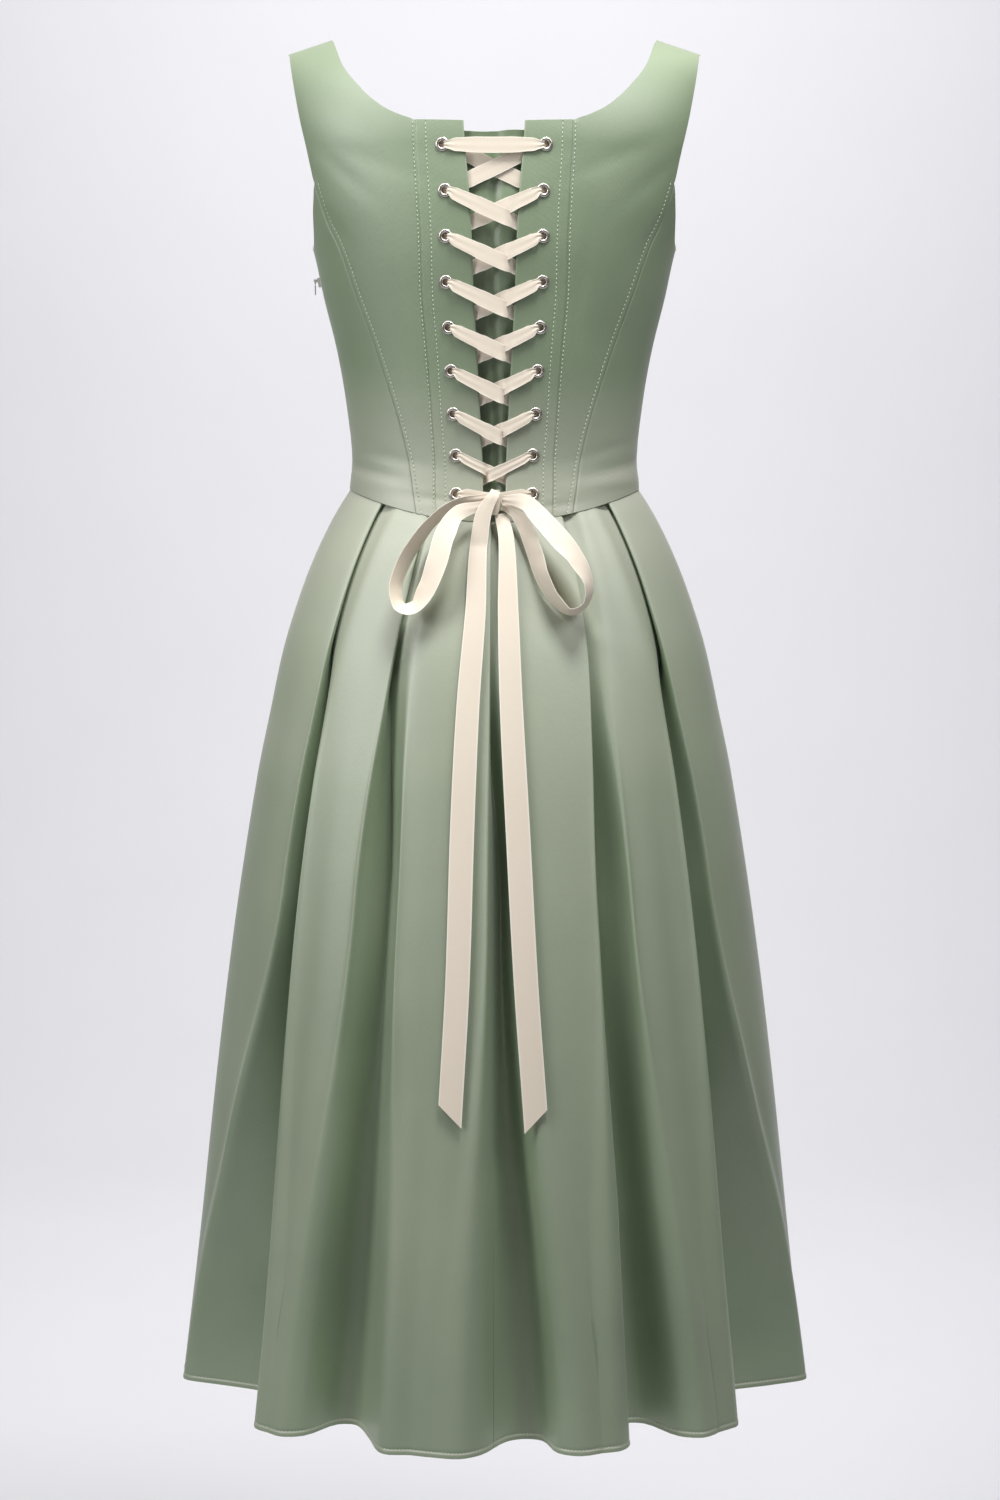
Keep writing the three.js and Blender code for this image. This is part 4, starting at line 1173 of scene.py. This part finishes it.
class DRESS_OT_modesty(bpy.types.Operator):
    """Builds the panel behind the lacing gap, sewn on at the left and loose at the right"""

    bl_idname = "dress.modesty"
    bl_label = "Modesty panel"

    def execute(self, context):
        used = materials()

        def place(u, v):
            rise = lerp(MODESTY_FOOT, MODESTY_TOP, v)
            narrow = lerp(0.8, 1, smooth(v))
            tuck = clamp(u / SEWN_SHARE)
            across = max((u - SEWN_SHARE) / (1 - SEWN_SHARE), 0)
            x = lerp(SEWN_EDGE, SEWN_SEAM, tuck) + LOOSE_WIDTH * across
            depth = lerp(2.7, 6.4, smooth(tuck))
            depth += 0.7 * math.sin(across * 17 + 1.5 * math.sin(v * 5)) * smooth(across * 4)
            depth += 2.6 * bump(across - 0.56 - 0.03 * math.sin(v * 7), 0.05)
            depth -= 1.5 * bump(v - 1, 0.01) * smooth(tuck)
            angle = angle_at(x * narrow, rise)
            top = 0.7 * math.sin(across * 9 + 0.6) * v**12
            return on_bodice(angle, rise + top, -depth) + Vector((0, -SEAM_GAP / 2, 0))

        cut = CUTS["modesty"]
        mesh = cloth_mesh(80, 120, place, cut[:2])
        face_outward(mesh)
        cloth_piece("modesty_cloth", "modesty_panel", mesh, cut, used)
        return {"FINISHED"}


# The centre-back seam runs down the first side of the middle pleat, so each back panel is a
# slice of the same rings
SKIRT_ROWS = 116
SEAM_PLEAT = 2
SEAM_SPOT = 2


class DRESS_OT_skirt(bpy.types.Operator):
    """Builds the two back panels and the front of the skirt"""

    bl_idname = "dress.skirt"
    bl_label = "Skirt"

    def execute(self, context):
        used = materials()
        back = skirt_grid(BACK_PLEATS, -90, 90, SKIRT_ROWS)
        front = skirt_grid(FRONT_PLEATS, 90, 270, SKIRT_ROWS)
        reached, cut_column = -90, 0
        for pleat in BACK_PLEATS[: SEAM_PLEAT + 1]:
            cut_column += PLAIN_DETAIL * plain_steps(pleat.waist - reached)
            reached = pleat.waist
        cut_column += (SEAM_PLEAT * PLEAT_STRETCHES + SEAM_SPOT) * PLEAT_DETAIL + 2
        left = [row[: cut_column + 1] for row in back]
        right = [row[cut_column:] for row in back]
        half = Vector((SEAM_GAP / 2, 0, 0))
        for row in left:
            row[-1] = row[-1].lerp(row[-2], 0.05)
        for row in right:
            row[0] = row[0].lerp(row[1], 0.05)
        for row in back:
            for point in row:
                point.y -= SEAM_GAP / 2
        for row in front:
            for point in row:
                point.y += SEAM_GAP / 2
        for name, grid, cut in (
            ("skirt_back_left", left, "skirt_back"),
            ("skirt_back_right", right, "skirt_back"),
            ("skirt_front", front, "skirt_front"),
        ):
            self.add_panel(name, grid, CUTS[cut], used)
        self.add_hem_stitches(back, "hem_stitches_back", used)
        self.add_hem_stitches(front, "hem_stitches_front", used)
        return {"FINISHED"}

    def add_panel(self, name, grid, cut, used):
        columns, rows = len(grid[0]) - 1, len(grid) - 1

        def place(u, v):
            return grid[rows - round(v * rows)][round(u * columns)]

        mesh = cloth_mesh(columns, rows, place, cut[:2])
        face_outward(mesh)
        mark_sheen_mask(mesh)
        cloth_piece(
            name + "_cloth", name, mesh, cut, used, SKIRT_WALL, bevel=0.25
        )

    def add_hem_stitches(self, grid, name, used):
        """The hem's topstitching follows the row of points at its own height."""
        row = grid[-1 - (len(HEM_MARKS) - 1 - HEM_MARKS.index(HEM_STITCH))]
        places = []
        for i, point in enumerate(row):
            before, after = row[max(i - 1, 0)], row[min(i + 1, len(row) - 1)]
            along = (after - before).normalized()
            places.append((point, Vector((along.y, -along.x, 0))))
        stitch_row(name, places, used, pitch=3.0, length=2.2)


# Ribbons
Station = namedtuple("Station", "place width across slant")
UPRIGHT = Vector((0, 0, 1))
RIBBON_WALL = 0.4
RIBBON_BEVEL = 0.12


def refined(stations, spacing=1.6):
    """Stations on a smooth curve through the given ones, about evenly spaced."""
    places = [s.place for s in stations]
    steps = [max(2, math.ceil((b - a).length / spacing)) for a, b in zip(places, places[1:])]
    path = curve_through(places, steps)
    made, k = [], 0
    for i, count in enumerate(steps):
        a, b = stations[i], stations[i + 1]
        for s in range(count):
            t = s / count
            width = lerp(a.width, b.width, smooth(t))
            across = a.across.lerp(b.across, smooth(t))
            made.append(Station(path[k], width, across, lerp(a.slant, b.slant, t**6)))
            k += 1
    last = stations[-1]
    made.append(Station(path[-1], last.width, last.across, last.slant))
    return made


def ribbon_mesh(stations, columns, cup):
    """Ribbon through stations. Where it is narrower than it was woven it bunches into folds."""
    rows = len(stations) - 1
    frames = []
    length = 0.0
    for i, station in enumerate(stations):
        before, after = stations[max(i - 1, 0)].place, stations[min(i + 1, rows)].place
        along = (after - before).normalized()
        across = (station.across - along * station.across.dot(along)).normalized()
        if i:
            length += (station.place - stations[i - 1].place).length
        frames.append((station, along, across, along.cross(across), length))

    def place(u, v):
        station, along, across, thick, _ = frames[round(v * rows)]
        side = 2 * u - 1
        surplus = 1 - station.width / RIBBON_WIDTH
        fold = 0.7 * surplus**3 * math.cos(side * 6 + 0.8 * math.sin(v * 40))
        arch = cup * (1 - side * side)
        return (
            station.place
            + across * (side * station.width / 2)
            + along * (side * station.slant)
            + thick * (fold + arch)
        )

    return cloth_mesh(columns, rows, place, (RIBBON_WIDTH, length))


def ribbon_piece(name, stations, columns, used, nodes, cup=0.0):
    mesh = ribbon_mesh(stations, columns, cup)
    piece = finish_mesh(name, mesh, used["ribbon"], nodes)
    shell(piece, RIBBON_WALL, offset=0.0, bevel=RIBBON_BEVEL)
    return piece


def lace_station(x, rise, lift, width):
    place = on_bodice(angle_at(x, rise), rise, lift) + Vector((0, -SEAM_GAP / 2, 0))
    return Station(place, width, UPRIGHT, 0)


HOLE, RIM, ON_PANEL, AT_EDGE, INSIDE, BAR_END, CROSS, BAR = 4.8, 6.6, 10.4, 11.6, 9, 11, 13, 13
gap_half = table_curve(GAP_EDGE, "rise", "x")
ROW_WIDTHS = (1, 1, 1, 1, 1, 0.97, 0.92, 0.74, 0.72)
Pass = namedtuple("Pass", "outward up lift width")
EYELET_PASS = (
    Pass(-5.2, 0.3, -3.9, RIM),
    Pass(0, 0.1, -4.3, INSIDE),
    Pass(3.6, 0, -4.0, INSIDE),
    Pass(2.2, 0, -3.0, RIM),
    Pass(-1.1, 0, -2.2, HOLE),
    Pass(-1.5, 0, 0, HOLE),
    Pass(-2.6, -0.1, 1.5, HOLE),
    Pass(-4.4, -0.4, 2.1, RIM),
)
Over = namedtuple("Over", "share more over under width")
CROSSING = (
    Over(1, 0, 1.5, 1.4, AT_EDGE),
    Over(0.55, 0, 2.0, -1.0, CROSS),
    Over(0, 0, 2.0, -1.7, CROSS),
    Over(-0.5, 0, 1.2, -2.5, CROSS),
    Over(-1, 3.6, -2.6, -2.7, AT_EDGE),
    Over(-1, -2, -2.9, -2.9, AT_EDGE),
)


def thread_eyelet(side, row):
    """Through an eyelet from the inside to the outside."""
    spot = EYELET_ROWS[row]
    return [lace_station(side * (spot.x + p.outward), spot.rise + p.up, p.lift, p.width) for p in EYELET_PASS]


def cross_gap(side, row, over):
    """Outside from one row of eyelets to the inside of the next row on the far side."""
    start, end = EYELET_ROWS[row], EYELET_ROWS[row + 1]
    edge = gap_half(start.rise - 10)
    narrow = ROW_WIDTHS[row]

    def station(x, lift, width):
        stride = (start.x - 4 - x) / (start.x + end.x - 8)
        return lace_station(side * x, lerp(start.rise - 1, end.rise + 3, stride), lift, width * narrow)

    made = [station(start.x - 9, 1.7, ON_PANEL)]
    for spot in CROSSING:
        lift = spot.over if over else spot.under
        made.append(station(spot.share * edge + spot.more, lift, spot.width))
    made.append(station(11 - end.x, -3.1, INSIDE))
    return made


def lace_stations(side):
    """Half of the lacing, from the middle of the top bar down to the knot."""
    top, following, end = EYELET_ROWS[0], EYELET_ROWS[1], EYELET_ROWS[-1]
    depth = 2.7 if side > 0 else 4.4
    made = [
        lace_station(side * SEAM_GAP / 2, top.rise - 1, 1.4, BAR),
        lace_station(side * 14, top.rise - 0.8, 1.4, BAR),
        lace_station(side * (top.x - 12), top.rise - 0.5, 1.6, BAR_END),
        *reversed(thread_eyelet(side, 0)),
        lace_station(side * (top.x - 14), top.rise - 5, -3.2, INSIDE),
        lace_station(side * 20, top.rise - 9, -depth, CROSS),
        lace_station(0, top.rise - 19, -depth, CROSS),
        lace_station(-side * 20, following.rise + 9, -depth, CROSS),
        lace_station(-side * (following.x - 13), following.rise + 4, -3.3, INSIDE),
    ]
    here = -side
    for row in range(1, len(EYELET_ROWS) - 1):
        made += thread_eyelet(here, row)
        left_over = row < len(EYELET_ROWS) - 2
        made += cross_gap(here, row, left_over if here < 0 else not left_over)
        here = -here
    made += thread_eyelet(here, len(EYELET_ROWS) - 1)
    made.append(lace_station(here * (end.x - 9), end.rise - 1, 1.6, ON_PANEL))
    made.append(lace_station(here * 15, end.rise - 2.5, 1.6, ON_PANEL))
    made.append(lace_station(here * 5, end.rise - 4, 2.2, ON_PANEL))
    return made


class DRESS_OT_lacing(bpy.types.Operator):
    """Threads the ribbon through the eyelets"""

    bl_idname = "dress.lacing"
    bl_label = "Lacing"

    def execute(self, context):
        used = materials()
        left, right = lace_stations(-1), lace_stations(1)
        stations = refined([*reversed(left), *right])
        ribbon_piece("lacing_ribbon", stations, 12, used, ["lace_left", "lace_right"])
        return {"FINISHED"}


Bend = namedtuple("Bend", "x y z width turn")
LEFT_LOOP = (
    Bend(-6.7, -87.4, -377.6, 7, -4),
    Bend(-32.5, -92, -383.5, 11, -35),
    Bend(-51, -96, -396.5, 15, -52),
    Bend(-64, -99, -412.5, 19, -55),
    Bend(-75, -103, -430.5, 20, -55),
    Bend(-82, -110, -451.5, 20, -60),
    Bend(-78.5, -115, -465.5, 20, -66),
    Bend(-66.5, -120, -466.5, 20, -60),
    Bend(-55.5, -121, -451, 20, -42),
    Bend(-47, -117, -428, 20, -30),
    Bend(-41, -109, -407.5, 18.5, -24),
    Bend(-30.5, -99, -390.5, 13, -12),
    Bend(-7, -91.4, -383.3, 7, 0),
)
RIGHT_LOOP = (
    Bend(6.7, -91.4, -379, 7, 0),
    Bend(25.5, -98, -381, 13, -12),
    Bend(38, -106, -393, 17, -22),
    Bend(54, -115, -410.5, 20, -32),
    Bend(68.5, -121, -428, 20, -48),
    Bend(78, -124, -448.5, 20, -68),
    Bend(75.5, -124, -464, 20, -74),
    Bend(63.5, -122, -470.5, 20, -70),
    Bend(51, -119, -461, 20, -62),
    Bend(40.5, -115, -444, 20, -54),
    Bend(34, -108, -424, 19, -46),
    Bend(24.5, -98, -399.5, 15, -32),
    Bend(15.5, -92, -388.5, 9, -12),
    Bend(6.7, -87.4, -384.5, 7, 0),
)
Drop = namedtuple("Drop", "x z width off")
LEFT_TAIL = (
    Drop(-5.6, -390.95, 11, 1),
    Drop(-12.5, -412, 14, 4),
    Drop(-15.5, -470, 17, 4),
    Drop(-21.5, -545, 19, 3),
    Drop(-26, -640, 20, 2.4),
    Drop(-30, -770, 20, 2.4),
    Drop(-36, -876, 20, 2.4),
)
RIGHT_TAIL = (
    Drop(5.7, -391.05, 11, 1),
    Drop(10, -412, 13, 4),
    Drop(11.5, -470, 17, 4),
    Drop(14, -545, 19, 3),
    Drop(19, -640, 20, 2.4),
    Drop(26, -770, 20, 2.4),
    Drop(34, -880, 20, 2.4),
)
TAIL_SLANT = 9
TAIL_STEPS = 170
LOOP_STEPS = 14
KNOT_LEAD = ((1.4, -92.4, -371.6), (-1.2, -94.8, -376.5), (-5.6, -95.8, -383.5), (-9.2, -96.8, -392))
LEAD_STEPS, LEAD_WIDTH, LEAD_END = 8, 8, -414
KNOT_HALF, KNOT_DEPTH, KNOT_MIDDLE = 6.0, 4.8, -88.4
KNOT_TOP, KNOT_FOOT = -371.2, -391.8


def loop_stations(rows):
    """Stations of a bow loop; the turn is that of its face about its own line."""
    places = [Vector((row.x, row.y, row.z)) for row in rows]
    path = curve_through(places, [LOOP_STEPS] * (len(rows) - 1))
    made = []
    for i, place in enumerate(path):
        k = min(i // LOOP_STEPS, len(rows) - 2)
        t = smooth(i / LOOP_STEPS - k)
        along = (path[min(i + 1, len(path) - 1)] - path[max(i - 1, 0)]).normalized()
        across = Vector((-along.z, 0, along.x)).normalized()
        turn = math.radians(lerp(rows[k].turn, rows[k + 1].turn, t))
        across = Matrix.Rotation(turn, 3, along) @ across
        made.append(Station(place, lerp(rows[k].width, rows[k + 1].width, t), across, 0))
    return made


def tail_stations(rows, side):
    """Stations of a tail that hangs just clear of the skirt and ends in a slanted cut."""
    top, bottom = rows[0].z, rows[-1].z
    upward = tuple(reversed(rows))
    x_at, width_at, off_at = (table_curve(upward, "z", column) for column in ("x", "width", "off"))
    made = []
    for i in range(TAIL_STEPS + 1):
        z = lerp(top, bottom, i / TAIL_STEPS)
        x = x_at(z)
        depth, half = skirt_back(z), skirt_half(z)
        y = -depth * math.sqrt(1 - (x / half) ** 2) - off_at(z)
        across = Vector((1, depth * x / (half * half), 0)).normalized()
        slant = -side * TAIL_SLANT * smooth((i / TAIL_STEPS - 0.93) / 0.07)
        made.append(Station(Vector((x, y, z)), width_at(z), across, slant))
    return made


def path_length(points):
    return sum((b - a).length for a, b in zip(points, points[1:]))


def over_knot(stations):
    """The left tail leaves the top of the knot and comes down over its front."""
    rest = [station for station in stations if station.place.z < LEAD_END]
    places = [Vector(place) for place in KNOT_LEAD] + [rest[0].place]
    path = curve_through(places, [LEAD_STEPS] * len(KNOT_LEAD))[:-1]
    ahead = Vector((1, 0, 0))
    lead = []
    for i, place in enumerate(path):
        t = smooth(i / len(path))
        width = lerp(LEAD_WIDTH, rest[0].width, t)
        lead.append(Station(place, width, ahead.lerp(rest[0].across, t), 0))
    return lead + rest


class DRESS_OT_bow(bpy.types.Operator):
    """Ties the bow: its knot, two loops and two tails"""

    bl_idname = "dress.bow"
    bl_label = "Bow"

    def execute(self, context):
        used = materials()
        self.add_knot(used)
        for name, rows in (("bow_loop_left", LEFT_LOOP), ("bow_loop_right", RIGHT_LOOP)):
            stations = loop_stations(rows)
            piece = ribbon_piece(name + "_ribbon", stations, 10, used, [name], cup=0.4)
            self.declare(piece, stations, "object")
        for name, rows, side in (("tail_left", LEFT_TAIL, -1), ("tail_right", RIGHT_TAIL, 1)):
            stations = tail_stations(rows, side)
            if side < 0:
                stations = over_knot(stations)
            piece = ribbon_piece(name + "_ribbon", stations, 10, used, [name], cup=0.5)
            self.declare(piece, stations, "bare")
        return {"FINISHED"}

    def declare(self, piece, stations, far_end):
        path = [station.place * MM for station in stations]
        tuple(path[0])
        path_length(path)
        [tuple(p) for p in path]

    def add_knot(self, used):
        """The knot is ribbon wrapped once round the rest, pinched above and below."""

        def place(u, v):
            turn = 2 * math.pi * u
            pinch = 0.62 + 0.38 * math.sin(math.pi * clamp(v, 0.04, 0.96)) ** 0.6
            crease = 1 + 0.07 * math.sin(3 * turn + 3 * v) + 0.04 * math.sin(7 * turn - 2 * v)
            x = lerp(-1.6, 0.6, v) + KNOT_HALF * lerp(1.15, 0.85, v) * pinch * crease * math.sin(turn)
            y = KNOT_MIDDLE - KNOT_DEPTH * pinch * crease * math.cos(turn)
            return Vector((x, y, lerp(KNOT_FOOT, KNOT_TOP, v)))

        mesh = cloth_mesh(64, 24, place, (RIBBON_WIDTH * 2, RIBBON_WIDTH))
        bmesh.ops.remove_doubles(mesh, verts=mesh.verts[:], dist=1e-6)
        bmesh.ops.recalc_face_normals(mesh, faces=mesh.faces[:])
        piece = finish_mesh("bow_knot_ribbon", mesh, used["ribbon"], ["bow_knot"])
        shell(piece, RIBBON_WALL, bevel=RIBBON_BEVEL)


class DRESS_OT_zip(bpy.types.Operator):
    """Finishes the zip in the left side seam"""

    bl_idname = "dress.zip"
    bl_label = "Zip"

    def execute(self, context):
        used = materials()
        for name, key in (("zip_tape", "tape"), ("zip_slider", "zip_metal"), ("zip_pull_tab", "zip_metal")):
            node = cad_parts[name]
            node.data.materials.clear()
            node.data.materials.append(used[key])
        return {"FINISHED"}


# Each row of topstitching on the right half: its panel, that panel's stitched sides, and the
# row's distance from one of them
Topstitch = namedtuple("Topstitch", "name place first last top back distance from_first")
TOPSTITCHES = (
    Topstitch("channel", lacing_place, 0.0, CHANNEL_WIDTH, 1.0, True, CHANNEL_WIDTH, False),
    Topstitch("edge", back_place, EDGE_STITCH, TOPSTITCH_WIDTH, SEAM_TOP, True, EDGE_STITCH, True),
    Topstitch("princess", back_place, EDGE_STITCH, TOPSTITCH_WIDTH, SEAM_TOP, True, TOPSTITCH_WIDTH, False),
    Topstitch(
        "front", front_centre_place, TOPSTITCH_WIDTH, TOPSTITCH_WIDTH, 1.0, False, TOPSTITCH_WIDTH, True
    ),
)


class DRESS_OT_stitches(bpy.types.Operator):
    """Sews the dashed topstitching along the bodice's seams"""

    bl_idname = "dress.stitches"
    bl_label = "Topstitching"

    def execute(self, context):
        used = materials()
        for side, sign in SIDES:
            for row in TOPSTITCHES:
                relief = panel_relief(row.place, row.first, row.last, row.top, row.back)
                name = f"stitches_{row.name}_{side}"
                mirror = sign < 0
                panel_stitches(
                    name, row.place, relief, row.distance, row.from_first, used, row.top, mirror
                )
        return {"FINISHED"}


# Camera of the photograph: distance, height, tilt and lens
CAMERA_PLACE = (0.00475, -2.7, -0.2967)
CAMERA_TILT = 6.39
CAMERA_LENS = 75

# Lamps in metres, each with its place, what it aims at and its width
Lamp = namedtuple("Lamp", "name place target size")
LAMPS = (
    Lamp("key", (-1.3, -1.1, 1.7), (0, 0, -0.4), 1.0),
    Lamp("top", (0.2, -0.55, 1.1), (0, 0, -0.4), 0.5),
    Lamp("left", (-1.6, -1.0, 0.2), (0, 0, -0.4), 0.8),
    Lamp("right", (1.6, -1.4, 1.1), (0, 0, -0.1), 1.2),
    Lamp("paper", (0, 1.4, 1.5), (0, 3.8, -0.5), 2),
)

# Paper sweep in millimetres: half its width, its run from front to back, where it bends up, the
# bend's radius, its level, and how steeply it climbs past the bend
SWEEP_HALF = 6000
SWEEP_FRONT = -4000
SWEEP_BACK = 7000
BEND_START = 2500
BEND_RADIUS = 1500
SWEEP_LEVEL = -1600
SWEEP_CLIMB = 3


class DRESS_OT_stage(bpy.types.Operator):
    """Sets up the paper sweep, the lamps and the camera"""

    bl_idname = "dress.stage"
    bl_label = "Stage"

    def execute(self, context):
        used = materials()
        light = context.scene.dress_light
        self.add_camera(context)
        self.add_floor(used)
        for lamp in LAMPS:
            self.add_area(lamp, getattr(light, lamp.name))
        world = bpy.data.worlds.new("studio")
        world.use_nodes = True
        background = world.node_tree.nodes["Background"]
        background.inputs[0].default_value = linear("#E6E5E9")
        background.inputs[1].default_value = light.fill
        context.scene.world = world
        context.scene.view_settings.view_transform = "Standard"
        return {"FINISHED"}

    def add_camera(self, context):
        data = bpy.data.cameras.new("camera")
        data.lens = CAMERA_LENS
        camera = bpy.data.objects.new("camera", data)
        camera.location = CAMERA_PLACE
        camera.rotation_euler = (math.radians(90 - CAMERA_TILT), 0, 0)
        context.scene.collection.objects.link(camera)
        context.scene.camera = camera

    def add_area(self, lamp, power):
        name = f"{lamp.name}_light"
        data = bpy.data.lights.new(name, "AREA")
        data.shape = "DISK"
        data.size = lamp.size
        data.energy = power
        made = bpy.data.objects.new(name, data)
        made.location = lamp.place
        aim = Vector(lamp.target) - Vector(lamp.place)
        made.rotation_euler = aim.to_track_quat("-Z", "Y").to_euler()
        bpy.context.scene.collection.objects.link(made)

    def add_floor(self, used):
        """Paper sweep: a floor under the dress that curves up behind it."""

        def place(u, v):
            x = lerp(-SWEEP_HALF, SWEEP_HALF, u)
            run = lerp(SWEEP_FRONT, SWEEP_BACK, v)
            if run < BEND_START:
                return Vector((x, run, SWEEP_LEVEL))
            arc = BEND_RADIUS * math.pi / 2
            angle = clamp((run - BEND_START) / arc) * math.pi / 2
            y = BEND_START + BEND_RADIUS * math.sin(angle)
            climb = max(run - BEND_START - arc, 0) * SWEEP_CLIMB
            return Vector((x, y, SWEEP_LEVEL + BEND_RADIUS * (1 - math.cos(angle)) + climb))

        mesh = cloth_mesh(8, 60, place, (2 * SWEEP_HALF, SWEEP_BACK - SWEEP_FRONT))
        mesh_object("paper_sweep", mesh, used["paper"])


class DRESS_PT_panel(bpy.types.Panel):
    """Dress tools in the sidebar"""

    bl_idname = "DRESS_PT_panel"
    bl_label = "Dress"
    bl_space_type = "VIEW_3D"
    bl_region_type = "UI"
    bl_category = "Dress"

    def draw(self, context):
        layout = self.layout
        cloth, light = context.scene.dress_cloth, context.scene.dress_light
        for name in ("light", "dark", "pale"):
            layout.prop(cloth, name)
        for name in ("key", "top", "left", "right", "paper", "fill"):
            layout.prop(light, name)
        for operator in OPERATORS:
            layout.operator(operator.bl_idname)


OPERATORS = (
    DRESS_OT_stage,
    DRESS_OT_bodice,
    DRESS_OT_lacing_panels,
    DRESS_OT_eyelets,
    DRESS_OT_modesty,
    DRESS_OT_skirt,
    DRESS_OT_lacing,
    DRESS_OT_bow,
    DRESS_OT_zip,
    DRESS_OT_stitches,
)
CLASSES = (DressCloth, DressLight, *OPERATORS, DRESS_PT_panel)


def register():
    for cls in CLASSES:
        bpy.utils.register_class(cls)
    bpy.types.Scene.dress_cloth = bpy.props.PointerProperty(type=DressCloth)
    bpy.types.Scene.dress_light = bpy.props.PointerProperty(type=DressLight)


def unregister():
    del bpy.types.Scene.dress_light
    del bpy.types.Scene.dress_cloth
    for cls in reversed(CLASSES):
        bpy.utils.unregister_class(cls)


def main():
    register()
    bpy.ops.dress.stage()
    bpy.ops.dress.bodice()
    bpy.ops.dress.lacing_panels()
    bpy.ops.dress.eyelets()
    bpy.ops.dress.modesty()
    bpy.ops.dress.skirt()
    bpy.ops.dress.lacing()
    bpy.ops.dress.bow()
    bpy.ops.dress.zip()
    bpy.ops.dress.stitches()


if __name__ == "__main__":
    main()
